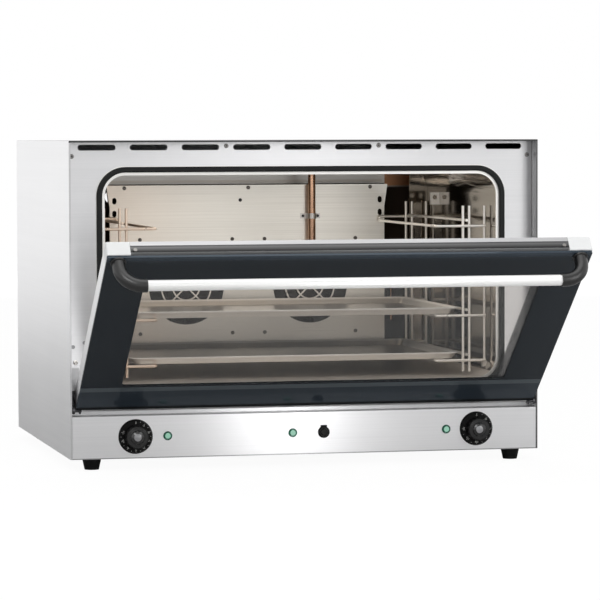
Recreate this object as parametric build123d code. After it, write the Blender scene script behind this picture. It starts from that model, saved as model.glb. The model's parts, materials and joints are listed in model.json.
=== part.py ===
"""Countertop convection oven with a drop-down glass door, two side racks and two fans.

Millimetres. X runs to the right, Y from the front to the back, Z up. The pieces are modelled with
Y = 0 at the casing's front edge and Z = 0 at the casing's underside. They are written with the origin on
the floor, at the centre of the whole oven's box with its door part-way open, as it rests.
"""

import math
import os

from build123d import *

# Casing
CASE_W = 835.0
CASE_D = 656.0
CASE_H = 547.0
SHEET = 1.2
HEM = 3.0
HEM_DEPTH = 10.0
RECESS = 33.0
PANEL_H = 74.0
LIP = 14.0
FOOT_H = 20.0
FOOT_TOP_R = 16.0
FOOT_TIP_R = 12.5
FOOT_INSET_X = 41.5
FOOT_INSET_Y = 32.0

# Clearances
SEAT_GAP = 0.3
RUN_GAP = 0.05
SLIDE_GAP = 0.2
HOLE_GAP = 0.3

# Cavity, measured inside the liner
SIDE_MARGIN = 67.0
FLOOR_MARGIN = 52.0
TOP_MARGIN = 60.0
REAR_MARGIN = 96.0
CAV_R = 36.0
LINER = 0.8
LINER_FLANGE = 16.0
INSULATION = 25.0
GASKET_IN = 5.0
GASKET_W = 9.5
GASKET_T = 7.0

# Vent slots and screws of the front panel
SLOT_COUNT = 9
SLOT_PITCH = 91.0
SLOT_W = 66.0
SLOT_H = 10.0
SLOT_DROP = 11.9
FRONT_SCREW_R = 4.0
FRONT_SCREW_HEAD = 1.8
FRONT_SCREW_LONG = 8.0

# Fan end of the cavity
FAN_SPACE = 62.0
BAFFLE = 1.0
BAFFLE_DROP = 25.0
BAFFLE_LIP = 10.0
BAFFLE_EAR = 6.0
BAFFLE_EAR_H = 42.0
STRIP_W = 36.5
AIR_GAP = 43.0
FAN_CLEAR = 3.25
FAN_Z_OVER_FLOOR = 145.6
FAN_OPENING_R = 72.0
WHEEL_R = 90.0
WHEEL_DEPTH = 30.0
WHEEL_BLADES = 12
HUB_R = 14.0
SHAFT_R = 4.0
MOTOR_R = 42.0
MOTOR_LONG = 46.0
MOTOR_LEG_R = 4.0
BOSS_R = 9.0
HEATER_RING_R = 112.0
HEATER_R = 4.25
HEATER_LEG_OUT = 19.0
GUARD_SCREW = 88.4
GUARD_BAR = 2.5
POST_R = 3.5
SMALL_SCREW_R = 2.0

# Side racks and trays
WIRE_R = 2.5
WELD_GAP = 0.05
RACK_FRONT_Y = 84.0
RACK_DEPTH = 400.0
LEVEL_PITCH = 80.0
FIRST_LEVEL = 27.0
ARM_REACH = 97.5
ARM_BEND = 5.5
STOP_BEND = 3.6
OUTER_POST_IN = 6.5
PAIR_IN = 34.5
PAIR_ROOM = 1.8
GUIDE_LIFT = 10.0
GUIDE_END_GAP = 0.55
STOP_RISE = 7.6
POST_OVER = 36.0
TOP_ROOM = 45.0
LUG_Y = 409.0
LUG_OUT = 18.0
LUG_H = 23.0
LUG_OVER = 31.0
LUG_HOLE_R = 4.5
TRAY_D = 400.0
TRAY_H = 12.0
TRAY_WALL = 1.0
TRAY_FLARE = 9.0
TRAY_RIM = 3.0
TRAY_SIDE_GAP = 1.9
TRAY_FRONT_Y = 78.0
TRAY_LEVELS = (0, 1)

# Controls
KNOB_X = 304.5
CONTROL_Z = 38.0
SKIRT_R = 30.0
SKIRT_T = 4.0
GRIP_R = 20.0
GRIP_LONG = 18.0
GRIP_FLUTES = 16
CAP_R = 12.0
STEM_R = 3.0
TIMER_SIZE = (50.0, 40.0, 46.0)
LAMP_X = (-248.3, -27.0, 249.7)
LAMP_R = 6.0
LAMP_NECK_R = 5.5
LAMP_BEZEL_R = 7.75
BUTTON_X = 28.4
BUTTON_R = 7.0
BUTTON_BEZEL_R = 10.35
BUTTON_PROUD = 6.0
BUTTON_TRAVEL = 3.0
SWITCH_R = 9.0

# Door, measured closed. Its depth runs back from the outer glass and its height up from the lower edge
DOOR_SIDE_GAP = 9.0
DOOR_T = 30.0
DOOR_FACE_Y = 0.7
DOOR_FLOOR_GAP = 12.5
DOOR_SLOT_GAP = 1.6
DOOR_OPEN = 51.0
GLASS = 4.0
GLASS_START = 4.5
GLASS_TOP_IN = 2.5
PROFILE_W = 34.5
PROFILE_WALL = 2.2
BLOCK_W = 39.0
BLOCK_H = 23.0
INNER_GLASS_IN = 10.2
PANE_GAP = 0.6
RAIL_FRONT = 10.0
RAIL_STEP = 1.5
HANDLE_DROP = 14.0
HANDLE_OUT = 48.0
HANDLE_R = 9.0
HANDLE_END_IN = 61.5
ELBOW_IN = 19.5
ELBOW_R = 11.0
ELBOW_BEND = 36.0
TUBE_RIBS = 20

# Door hinges, one at each side
HINGE_BEHIND = 3.3
HINGE_BELOW = 2.5
PIN_R = 2.5
EYE_R = 5.5
STRAP_IN = 9.5
STRAP_T = 3.0
QUADRANT_IN = 33.0
QUADRANT_OUT = 41.0
QUADRANT_TOP = 50.0
QUADRANT_TAIL = -60.0
BRACKET_T = 3.0
BRACKET_GAP = 1.0

# Lamp, probe, pipes and fittings
LAMP_Y = 200.0
LAMP_SOCKET_R = 20.0
LAMP_CUP_H = 34.0
LAMP_GLASS_R = 17.0
LAMP_GLASS = 3.0
CAPILLARY_R = 1.2
PROBE_R = 3.5
PROBE_LONG = 90.0
PIPE_R = 7.0
PIPE_OVER = 2.0
EXHAUST_R = 15.0
REAR_STUB = 20.0
VALVE_X = 200.0
VALVE_Z = 62.0
INLET_R = 13.0
EXHAUST_X = -250.0
MAINS_X = -200.0
GLAND_Z = 50.0
GLAND_THREAD_R = 9.0

# Places that follow from the sizes above
HALF = CASE_W / 2
INSIDE = HALF - SHEET
PANEL_Y = RECESS
CAV_HALF = HALF - SIDE_MARGIN
CAV_Z0 = PANEL_H + FLOOR_MARGIN
CAV_Z1 = CASE_H - TOP_MARGIN
CAV_Y0 = RECESS - LINER
CAV_Y1 = CASE_D - REAR_MARGIN
CAV_MID_Z = (CAV_Z0 + CAV_Z1) / 2
LEVELS = 1 + math.floor((CAV_Z1 - CAV_Z0 - FIRST_LEVEL - TOP_ROOM) / LEVEL_PITCH)
SLOT_Z = CASE_H - SLOT_DROP
BACK_Y = CASE_D - SHEET
FOOT_X = HALF - FOOT_INSET_X
BAFFLE_BACK = CAV_Y1 - FAN_SPACE
BAFFLE_FRONT = BAFFLE_BACK - BAFFLE
BAFFLE_HALF = CAV_HALF - STRIP_W - AIR_GAP
BAFFLE_TOP = CAV_Z1 - BAFFLE_DROP
BAFFLE_FOOT = CAV_Z0 + 2.0
FAN_X = HEATER_RING_R + HEATER_R + FAN_CLEAR
FAN_Z = CAV_Z0 + FAN_Z_OVER_FLOOR
WHEEL_BACK = CAV_Y1 - 18.0
HEATER_LEG_Z = FAN_Z - math.sqrt(HEATER_RING_R ** 2 - HEATER_LEG_OUT ** 2)
PROBE_X = BAFFLE_HALF + 22.0
PROBE_Z0 = CAV_Z0 + 74.0
HEATER_Y = BAFFLE_BACK + 30.0
INSULATION_Y1 = CAV_Y1 + LINER + INSULATION
MOTOR_Y = INSULATION_Y1 + 6.0
LEG_OUT = 30.0
POST_X = (-237.0, 0.0, 237.0)
POST_ROWS = (BAFFLE_TOP - 5.0, BAFFLE_FOOT + 8.0)
OUTER_POST_X = CAV_HALF - OUTER_POST_IN
PAIR_X = CAV_HALF - PAIR_IN
PAIR_PITCH = 4 * WIRE_R + PAIR_ROOM
ARM_X = CAV_HALF - ARM_REACH
RACK_BACK_Y = RACK_FRONT_Y + RACK_DEPTH
POST_TIP_Z = CAV_Z0 + FIRST_LEVEL - 6.5
TRAY_HALF = PAIR_X - PAIR_PITCH - WIRE_R - TRAY_SIDE_GAP
DOOR_HALF = HALF - DOOR_SIDE_GAP
STRAP_X = DOOR_HALF - STRAP_IN
HANDLE_HALF = DOOR_HALF - HANDLE_END_IN
ELBOW_X = DOOR_HALF - ELBOW_IN
INNER_GLASS_FROM = DOOR_T - INNER_GLASS_IN
DOOR_Z0 = PANEL_H + DOOR_FLOOR_GAP
DOOR_H = SLOT_Z - SLOT_H / 2 - DOOR_SLOT_GAP - DOOR_Z0
HANDLE_S = DOOR_H - HANDLE_DROP
HINGE_Y = DOOR_FACE_Y + HINGE_BEHIND
HINGE_Z = DOOR_Z0 - HINGE_BELOW
HINGE_AXIS = Axis((0, HINGE_Y, HINGE_Z), (1, 0, 0))
BRACKET_X = DOOR_HALF + BRACKET_GAP
STRAP_HOLE_Z = HINGE_Z + math.sqrt(QUADRANT_IN ** 2 - (PANEL_Y + SHEET - HINGE_Y) ** 2)
STRAP_HOLE_TOP = HINGE_Z + math.sqrt(QUADRANT_OUT ** 2 - (PANEL_Y - HINGE_Y) ** 2)
PIPE_Z = CAV_Z1 + LINER + INSULATION + PIPE_OVER + PIPE_R
PIPE_Y = BAFFLE_FRONT - 16.0
PIPE_MOUTH = FAN_Z + FAN_OPENING_R + 2.0
CLIP_Z = (FAN_Z + FAN_OPENING_R + BAFFLE_TOP) / 2
EXHAUST_Z = BAFFLE_TOP - 22.0


def front_of_handle():
    """Y of the elbow's foremost line with the door at rest, part-way open."""
    turn = math.radians(DOOR_OPEN)
    back = DOOR_FACE_Y - HANDLE_OUT - HINGE_Y
    up = DOOR_Z0 + HANDLE_S - HINGE_Z
    return HINGE_Y + back * math.cos(turn) - up * math.sin(turn) - ELBOW_R


Y_SHIFT = -(front_of_handle() + CASE_D + REAR_STUB) / 2


# Small shapes that several pieces share

def box(x0, x1, y0, y1, z0, z1):
    """A block between two corners."""
    return Pos((x0 + x1) / 2, (y0 + y1) / 2, (z0 + z1) / 2) * Box(x1 - x0, y1 - y0, z1 - z0)


def rod_x(y, z, r, x0, x1):
    """A round bar along X."""
    return Pos((x0 + x1) / 2, y, z) * Rot(0, 90, 0) * Cylinder(r, x1 - x0)


def rod_y(x, z, r, y0, y1):
    """A round bar along Y."""
    return Pos(x, (y0 + y1) / 2, z) * Rot(90, 0, 0) * Cylinder(r, y1 - y0)


def rod_z(x, y, r, z0, z1):
    """A round bar along Z."""
    return Pos(x, y, (z0 + z1) / 2) * Cylinder(r, z1 - z0)


def front_plane(y):
    """The plane of a sketch seen from the front, with its X and Y along the oven's X and Z."""
    return Plane(origin=(0, y, 0), x_dir=(1, 0, 0), z_dir=(0, -1, 0))


def side_plane(x):
    """The plane of a sketch seen along X, with its X and Y along the oven's Y and Z."""
    return Plane(origin=(x, 0, 0), x_dir=(0, 1, 0), z_dir=(1, 0, 0))


def slab(sketch, y0, y1):
    """A front-view sketch given thickness from y0 back to y1."""
    return extrude(front_plane(y1) * sketch, y1 - y0)


def bar(section, x0, x1):
    """A side-view section drawn out from x0 to x1."""
    return extrude(side_plane(x0) * section, x1 - x0)


def rect(a0, a1, b0, b1):
    """A rectangle in a sketch between two corners."""
    return Pos((a0 + a1) / 2, (b0 + b1) / 2) * Rectangle(a1 - a0, b1 - b0)


def cavity_outline(grow):
    """The cavity's rounded section, grown or shrunk evenly all round."""
    wide = 2 * (CAV_HALF + grow)
    high = CAV_Z1 - CAV_Z0 + 2 * grow
    return Pos(0, CAV_MID_Z) * RectangleRounded(wide, high, CAV_R + grow)


def wire(points, bend):
    """A round wire along straight runs joined by arcs."""
    path = FilletPolyline(*points, radius=bend)
    return sweep((path ^ 0) * Circle(WIRE_R), path=path)


def other_side(solid):
    """The same piece on the other side of the oven."""
    return mirror(solid, about=Plane.YZ)


def both_sides(solid):
    """A piece at the right and its mirror image at the left, as two solids."""
    return Compound(children=[solid, other_side(solid)])


def group(solids):
    """Separate solids that share one node."""
    return Compound(children=list(solids))


# Casing

def casing_wrap():
    """Top and two sides in one bent sheet, with folded front edges."""
    outer = box(-HALF, HALF, 0, CASE_D, 0, CASE_H)
    outer = fillet(outer.edges().filter_by(Axis.Y).group_by(Axis.Z)[-1], SHEET * 0.9)
    inner = box(-INSIDE, INSIDE, HEM_DEPTH, CASE_D, 0, CASE_H - SHEET)
    mouth = box(-HALF + HEM, HALF - HEM, 0, HEM_DEPTH, 0, CASE_H - HEM)
    return outer - inner - mouth


def base_pan():
    """Bottom sheet with turned-up sides and rear, and air slots under the controls."""
    front = HEM_DEPTH + SEAT_GAP
    pan = box(-INSIDE, INSIDE, front, BACK_Y, 0, SHEET)
    for side in (-1, 1):
        wall = box(INSIDE - SHEET, INSIDE, front, BACK_Y, SHEET, LIP)
        pan += wall if side > 0 else other_side(wall)
    pan += box(-INSIDE, INSIDE, BACK_Y - SHEET, BACK_Y, SHEET, LIP)
    slots = [Pos(0, 110.0 + 30.0 * i) * SlotOverall(180.0, 8.0) for i in range(4)]
    return pan - extrude(Sketch() + slots, SHEET)


def vent_rows(x):
    """A block of level air slots in the back panel, behind one motor."""
    return [Pos(x, FAN_Z - 52.5 + 15.0 * i) * SlotOverall(84.0, 6.0) for i in range(8)]


def back_panel():
    """Rear sheet with the motors' air slots and the holes for the pipes and the gland."""
    face = rect(-INSIDE, INSIDE, SHEET, CASE_H - SHEET)
    for x in (-FAN_X, FAN_X):
        face -= Sketch() + vent_rows(x)
    face -= Pos(EXHAUST_X, EXHAUST_Z) * Circle(EXHAUST_R + HOLE_GAP)
    face -= Pos(VALVE_X, VALVE_Z) * Circle(INLET_R + HOLE_GAP)
    face -= Pos(MAINS_X, GLAND_Z) * Circle(GLAND_THREAD_R + HOLE_GAP)
    return slab(face, BACK_Y, CASE_D)


def strap_holes():
    """The two openings in the front panel that the hinge straps run through."""
    low = STRAP_HOLE_Z - 3.0
    high = STRAP_HOLE_TOP + 3.0
    mid = STRAP_X + STRAP_T / 2
    hole = RectangleRounded(STRAP_T + 5.0, high - low, 2.0)
    return [Pos(side * mid, (low + high) / 2) * hole for side in (-1, 1)]


def front_panel():
    """Recessed front sheet with vent slots, the cavity opening and the hinge openings."""
    face = rect(-INSIDE, INSIDE, PANEL_H - HEM, CASE_H - SHEET)
    first = -SLOT_PITCH * (SLOT_COUNT - 1) / 2
    face -= Sketch() + [
        Pos(first + SLOT_PITCH * i, SLOT_Z) * SlotOverall(SLOT_W, SLOT_H) for i in range(SLOT_COUNT)
    ]
    face -= cavity_outline(LINER + HOLE_GAP)
    face -= Sketch() + strap_holes()
    face -= Sketch() + [Pos(x, z) * Circle(SMALL_SCREW_R + HOLE_GAP) for x, z in front_screw_places()]
    panel = slab(face, PANEL_Y, PANEL_Y + SHEET)
    flange = box(INSIDE - SHEET, INSIDE, PANEL_Y + SHEET, PANEL_Y + LIP, PANEL_H, CASE_H - LIP)
    return panel + flange + other_side(flange)


def front_screw_places():
    """Two screws between the vent slots and one near each upper corner."""
    row = [(side * 1.5 * SLOT_PITCH, SLOT_Z + 2.2) for side in (-1, 1)]
    corner = [(side * (HALF - 10.1), CASE_H - 27.0) for side in (-1, 1)]
    return row + corner


def front_screws():
    """Pan head screws of the front panel."""
    head_y = PANEL_Y - FRONT_SCREW_HEAD
    screws = []
    for x, z in front_screw_places():
        head = rod_y(x, z, FRONT_SCREW_R, head_y, PANEL_Y)
        head = fillet(head.edges().group_by(Axis.Y)[0], 1.2)
        screws.append(head + rod_y(x, z, SMALL_SCREW_R, PANEL_Y, PANEL_Y + FRONT_SCREW_LONG))
    return group(screws)


def control_panel():
    """Lower front sheet that carries the controls, with a ledge above and a lip below."""
    half = HALF - HEM - SEAT_GAP
    face = rect(-half, half, 0, PANEL_H)
    face -= Sketch() + [Pos(x, CONTROL_Z) * Circle(STEM_R + 2.0) for x in (-KNOB_X, KNOB_X)]
    face -= Sketch() + [Pos(x, CONTROL_Z) * Circle(LAMP_NECK_R + HOLE_GAP) for x in LAMP_X]
    face -= Pos(BUTTON_X, CONTROL_Z) * Circle(SWITCH_R + HOLE_GAP)
    panel = slab(face, 0, SHEET)
    panel += box(-half, half, SHEET, PANEL_Y, PANEL_H - SHEET, PANEL_H)
    panel += box(-half, half, SHEET, SHEET + LIP + 2.0, SHEET, 2 * SHEET)
    return fillet(panel.edges().filter_by(Axis.X).group_by(Axis.Y)[0].group_by(Axis.Z)[-1], 1.0)


def foot(x, y):
    """Tapered rubber foot with a hollow tip."""
    profile = Polyline(
        (0, 0), (FOOT_TOP_R, 0), (FOOT_TOP_R, -4), (FOOT_TIP_R, -FOOT_H), (6, -FOOT_H), (5, -FOOT_H + 5),
        (0, -FOOT_H + 5), close=True)
    return Pos(x, y, 0) * revolve(Plane.XZ * make_face(profile), Axis.Z)


def feet():
    """Four feet under the base pan."""
    rows = (FOOT_INSET_Y, CASE_D - FOOT_INSET_Y - FOOT_TOP_R)
    return group(foot(side * FOOT_X, y) for side in (-1, 1) for y in rows)


# Cavity

def heater_leg_x(x):
    """X of the two legs of one ring heater."""
    return (x - HEATER_LEG_OUT, x + HEATER_LEG_OUT)


def rear_holes(gap):
    """Everything that passes through the cavity's rear wall, seen from the front."""
    holes = []
    for x in (-FAN_X, FAN_X):
        holes.append(Pos(x, FAN_Z) * Circle(BOSS_R + gap))
        holes += [Pos(leg, HEATER_LEG_Z) * Circle(HEATER_R + gap) for leg in heater_leg_x(x)]
    holes.append(Pos(PROBE_X, PROBE_Z0) * Circle(CAPILLARY_R + gap))
    return holes


def cavity_liner():
    """Stainless box with rounded long edges, a turned front flange and a pierced rear wall."""
    shell = slab(cavity_outline(LINER), PANEL_Y, CAV_Y1 + LINER)
    shell += slab(cavity_outline(LINER_FLANGE), CAV_Y0, PANEL_Y)
    shell -= slab(cavity_outline(0), CAV_Y0, CAV_Y1)
    rear = Sketch() + rear_holes(HOLE_GAP)
    rear += Pos(EXHAUST_X, EXHAUST_Z) * Circle(EXHAUST_R - SHEET)
    shell -= slab(rear, CAV_Y1, CAV_Y1 + LINER)
    shell -= rod_z(FAN_X, PIPE_Y, PIPE_R + HOLE_GAP, CAV_Z1, CAV_Z1 + LINER)
    return shell - rod_z(0, LAMP_Y, LAMP_SOCKET_R + HOLE_GAP, CAV_Z1, CAV_Z1 + LINER)


def insulation():
    """Mineral wool jacket round the liner, open at the front."""
    wool = slab(cavity_outline(LINER + INSULATION), PANEL_Y + SHEET + LIP, INSULATION_Y1)
    wool -= slab(cavity_outline(LINER + SEAT_GAP), PANEL_Y + SHEET + LIP, CAV_Y1 + LINER + SEAT_GAP)
    rear = Sketch() + rear_holes(1.0)
    rear += Pos(EXHAUST_X, EXHAUST_Z) * Circle(EXHAUST_R + 1.0)
    rear += [Pos(x, z) * Circle(MOTOR_LEG_R + 1.0) for x, z in motor_legs()]
    wool -= slab(rear, CAV_Y1 + LINER, INSULATION_Y1)
    wool -= rod_z(FAN_X, PIPE_Y, PIPE_R + 1.0, CAV_Z1, CAV_Z1 + 2 * INSULATION)
    return wool - rod_z(0, LAMP_Y, LAMP_SOCKET_R + 1.0, CAV_Z1, CAV_Z1 + 2 * INSULATION)


def door_gasket():
    """Rubber seal round the cavity opening, rounded towards the door."""
    back = CAV_Y0
    ring = slab(cavity_outline(GASKET_IN + GASKET_W) - cavity_outline(GASKET_IN), back - GASKET_T, back)
    return fillet(ring.edges().group_by(Axis.Y)[0], 2.6)


# Fan end

def guard_screw_places():
    """Four screws round each fan opening."""
    return [
        (x + dx * GUARD_SCREW, FAN_Z + dz * GUARD_SCREW)
        for x in (-FAN_X, FAN_X) for dx in (-1, 1) for dz in (-1, 1)
    ]


def post_places():
    """Three posts along the baffle's upper edge and three along its lower one."""
    return [(x, z) for x in POST_X for z in POST_ROWS]


def baffle_outline(inset):
    """Face of the baffle drawn in by an inset, with ears that widen its upper corners."""
    narrow = BAFFLE_HALF - BAFFLE_EAR - inset
    right = [
        (narrow, BAFFLE_FOOT + inset), (narrow, BAFFLE_TOP - BAFFLE_EAR_H),
        (BAFFLE_HALF - inset, BAFFLE_TOP - inset),
    ]
    left = [(-x, z) for x, z in reversed(right)]
    return make_face(Polyline(*right, *left, close=True))


def fan_baffle():
    """Sheet in front of the fans, with a fan opening each side and edges turned back."""
    tray = slab(baffle_outline(0), BAFFLE_FRONT, BAFFLE_BACK + BAFFLE_LIP)
    tray -= slab(baffle_outline(BAFFLE), BAFFLE_BACK, BAFFLE_BACK + BAFFLE_LIP)
    cuts = [Pos(x, FAN_Z) * Circle(FAN_OPENING_R) for x in (-FAN_X, FAN_X)]
    cuts += [Pos(x, z) * Circle(SMALL_SCREW_R + HOLE_GAP) for x, z in guard_screw_places() + post_places()]
    cuts += [
        Pos(side * (BAFFLE_HALF - 15.0), BAFFLE_TOP - drop) * SlotOverall(12.0, 8.0, rotation=90)
        for side in (-1, 1) for drop in (29.0, 53.0)
    ]
    return tray - slab(Sketch() + cuts, BAFFLE_FRONT, BAFFLE_BACK)


def baffle_posts():
    """Round spacers that hold the baffle off the rear wall, bored for their screws."""
    posts = []
    for x, z in post_places():
        post = rod_y(x, z, POST_R, BAFFLE_BACK, CAV_Y1)
        posts.append(post - rod_y(x, z, SMALL_SCREW_R + RUN_GAP, BAFFLE_BACK, BAFFLE_BACK + 14.0))
    return group(posts)


def air_strips():
    """Angle strips at the cavity's sides that narrow the outlets beside the baffle."""
    inner = CAV_HALF - STRIP_W
    face = cavity_outline(-SEAT_GAP) & rect(inner, CAV_HALF, CAV_Z0, CAV_Z1)
    strip = slab(face, BAFFLE_FRONT, BAFFLE_BACK)
    leg_x = CAV_HALF - SEAT_GAP
    leg = box(leg_x - BAFFLE, leg_x, BAFFLE_BACK, BAFFLE_BACK + 32.0, CAV_Z0 + CAV_R, CAV_Z1 - CAV_R)
    return both_sides(strip + leg)


def fan_guard(x):
    """Stamped guard of rings and four arms that lies behind a fan opening."""
    rings = Sketch()
    for r in (FAN_OPENING_R + 4.0, FAN_OPENING_R * 0.66, FAN_OPENING_R * 0.36):
        rings += Circle(r + GUARD_BAR / 2) - Circle(r - GUARD_BAR / 2)
    rings += Circle(FAN_OPENING_R * 0.12)
    reach = math.hypot(GUARD_SCREW, GUARD_SCREW)
    for turn in (45, 135, 225, 315):
        arm = rect(0, reach, -GUARD_BAR / 2, GUARD_BAR / 2)
        rings += Rot(0, 0, turn) * (arm + Pos(reach, 0) * Circle(5.0))
        rings -= Rot(0, 0, turn) * Pos(reach, 0) * Circle(SMALL_SCREW_R + HOLE_GAP)
    return slab(Pos(x, FAN_Z) * rings, BAFFLE_BACK, BAFFLE_BACK + GUARD_BAR)


def fan_guards():
    """One guard behind each fan opening."""
    return group(fan_guard(x) for x in (-FAN_X, FAN_X))


def cavity_screws():
    """Dome head screws of the guards and the baffle."""
    screws = []
    for x, z in guard_screw_places() + post_places():
        head = rod_y(x, z, 3.6, BAFFLE_FRONT - 2.0, BAFFLE_FRONT)
        head = fillet(head.edges().group_by(Axis.Y)[0], 1.2)
        screws.append(head + rod_y(x, z, SMALL_SCREW_R, BAFFLE_FRONT, BAFFLE_BACK + 8.0))
    return group(screws)


def fan_blade(turn):
    """One blade, curved backwards, standing on the wheel's disc."""
    outer = RadiusArc((HUB_R + 22.0, 0), (WHEEL_R - 2.0, 14.0), 110.0)
    inner = RadiusArc((WHEEL_R - 2.0, 12.2), (HUB_R + 22.0, -1.8), -110.0)
    face = make_face([
        outer, Line((WHEEL_R - 2.0, 14.0), (WHEEL_R - 2.0, 12.2)),
        inner, Line((HUB_R + 22.0, -1.8), (HUB_R + 22.0, 0)),
    ])
    return Rot(0, 0, turn) * face


def fan_wheel(x):
    """Radial wheel: a disc, its curved blades, a narrow front ring and a hub."""
    front = WHEEL_BACK - WHEEL_DEPTH
    bore = Circle(SHAFT_R + 0.02)
    blades = Sketch() + [fan_blade(360.0 / WHEEL_BLADES * i) for i in range(WHEEL_BLADES)]
    wheel = slab(Circle(WHEEL_R) - bore, WHEEL_BACK - 1.5, WHEEL_BACK)
    wheel += slab(blades, front + 1.5, WHEEL_BACK - 1.5)
    wheel += slab(Circle(WHEEL_R) - Circle(WHEEL_R - 18.0), front, front + 1.5)
    wheel += slab(Circle(HUB_R) - bore, WHEEL_BACK - 20.0, WHEEL_BACK + 4.0)
    return Pos(x, 0, FAN_Z) * wheel


def fan_shaft(x):
    """Motor shaft with the nut that holds the wheel."""
    shaft = rod_y(x, FAN_Z, SHAFT_R, WHEEL_BACK - 26.0, MOTOR_Y + MOTOR_LONG - 8.0)
    nut = Pos(x, FAN_Z) * RegularPolygon(8.0, 6)
    return shaft + slab(nut, WHEEL_BACK - 25.0, WHEEL_BACK - 20.0)


def motor_legs():
    """Four legs round each fan's axis."""
    return [
        (x + dx * LEG_OUT, FAN_Z + dz * LEG_OUT)
        for x in (-FAN_X, FAN_X) for dx in (-1, 1) for dz in (-1, 1)
    ]


def fan_motor(x):
    """Round motor on a square plate, on four legs from the rear wall, with a long bearing boss."""
    plate = Pos(x, FAN_Z) * RectangleRounded(2 * MOTOR_R, 2 * MOTOR_R, 8.0)
    motor = slab(plate, MOTOR_Y, MOTOR_Y + 3.0)
    body = rod_y(x, FAN_Z, MOTOR_R - 2.0, MOTOR_Y + 3.0, MOTOR_Y + MOTOR_LONG)
    motor += chamfer(body.edges().group_by(Axis.Y)[-1], 3.0)
    motor += rod_y(x, FAN_Z, BOSS_R, CAV_Y1, MOTOR_Y)
    for leg_x, leg_z in motor_legs():
        if abs(leg_x - x) < FAN_X:
            motor += rod_y(leg_x, leg_z, MOTOR_LEG_R, CAV_Y1 + LINER, MOTOR_Y)
    return motor - rod_y(x, FAN_Z, SHAFT_R + RUN_GAP, CAV_Y1, MOTOR_Y + MOTOR_LONG - 6.0)


def ring_heater(x):
    """Tubular element bent into a ring, with two legs through the rear wall."""
    half_gap = math.degrees(math.asin(HEATER_LEG_OUT / HEATER_RING_R))
    ring = Plane(origin=(x, HEATER_Y, FAN_Z), x_dir=(1, 0, 0), z_dir=(0, -1, 0))
    arc = ring * CenterArc((0, 0), HEATER_RING_R, -90 + half_gap, 360 - 2 * half_gap)
    heater = sweep((arc ^ 0) * Circle(HEATER_R), path=arc)
    for leg in heater_leg_x(x):
        tip = CAV_Y1 + LINER + INSULATION + 10.0
        heater += rod_y(leg, HEATER_LEG_Z, HEATER_R, HEATER_Y, tip)
        heater += Pos(leg, HEATER_Y, HEATER_LEG_Z) * Sphere(HEATER_R)
    return heater


# Racks and trays

def level_z(level):
    """Height of the wire centres of one rack level."""
    return CAV_Z0 + FIRST_LEVEL + LEVEL_PITCH * level


def support_loop(z):
    """One level's support wire: round the tray's side, then up at the back as its stop."""
    near = RACK_FRONT_Y - 2 * WIRE_R - WELD_GAP
    far = RACK_BACK_Y + 2 * WIRE_R + WELD_GAP
    mid = (near + far) / 2
    end = OUTER_POST_X + 1.0
    stop = z + STOP_RISE
    front = wire([(end, near, z), (ARM_X, near, z), (ARM_X, mid, z)], ARM_BEND)
    rear = [(ARM_X, mid, z), (ARM_X, far, z), (ARM_X, far, stop), (end, far, stop)]
    return front + wire(rear, STOP_BEND)


def side_rack():
    """Right side rack: support loops, tray guides and uprights, which meet at their welds."""
    top = level_z(LEVELS - 1) + POST_OVER
    guide_x = PAIR_X - 2 * WIRE_R - WELD_GAP
    guide_over = WIRE_R + WELD_GAP - GUIDE_END_GAP
    guide_y = (RACK_FRONT_Y - guide_over, RACK_BACK_Y + guide_over)
    wires = []
    for level in range(LEVELS):
        z = level_z(level)
        wires.append(support_loop(z))
        wires.append(rod_y(guide_x, z + GUIDE_LIFT, WIRE_R, *guide_y))
    for y in (RACK_FRONT_Y, RACK_BACK_Y):
        for x in (PAIR_X, PAIR_X - PAIR_PITCH):
            wires.append(rod_z(x, y, WIRE_R, CAV_Z0 + 7.0, top))
        wires.append(rod_z(OUTER_POST_X, y, WIRE_R, POST_TIP_Z, top))
    return group(wires)


def rack_brackets():
    """Wall clips of the racks: a sleeve and a cup for each outer upright, and a bored lug above."""
    wall = CAV_HALF - SEAT_GAP
    inner = OUTER_POST_X - 4.5
    low = level_z(LEVELS - 2) - 22.0
    clips = []
    for y in (RACK_FRONT_Y, RACK_BACK_Y):
        sleeve = box(inner, wall, y - 5.0, y + 5.0, low, low + 14.0)
        clips.append(sleeve - rod_z(OUTER_POST_X, y, WIRE_R + HOLE_GAP, low, low + 14.0))
        top = level_z(0) - WIRE_R - SEAT_GAP
        side = cavity_outline(-SEAT_GAP) & rect(inner, wall, top - 9.0, top)
        cup = slab(side, y - 5.0, y + 5.0)
        clips.append(cup - rod_z(OUTER_POST_X, y, WIRE_R + HOLE_GAP, POST_TIP_Z - SEAT_GAP, top))
    foot = level_z(LEVELS - 1) + LUG_OVER
    plate = cavity_outline(-SEAT_GAP) & rect(wall - LUG_OUT, wall, foot, foot + LUG_H)
    lug = slab(plate, LUG_Y, LUG_Y + 5.0)
    lug -= rod_y(wall - LUG_OUT / 2, foot + LUG_H * 0.6, LUG_HOLE_R, LUG_Y, LUG_Y + 5.0)
    clips.append(lug)
    return group(clips + [other_side(clip) for clip in clips])


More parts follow.
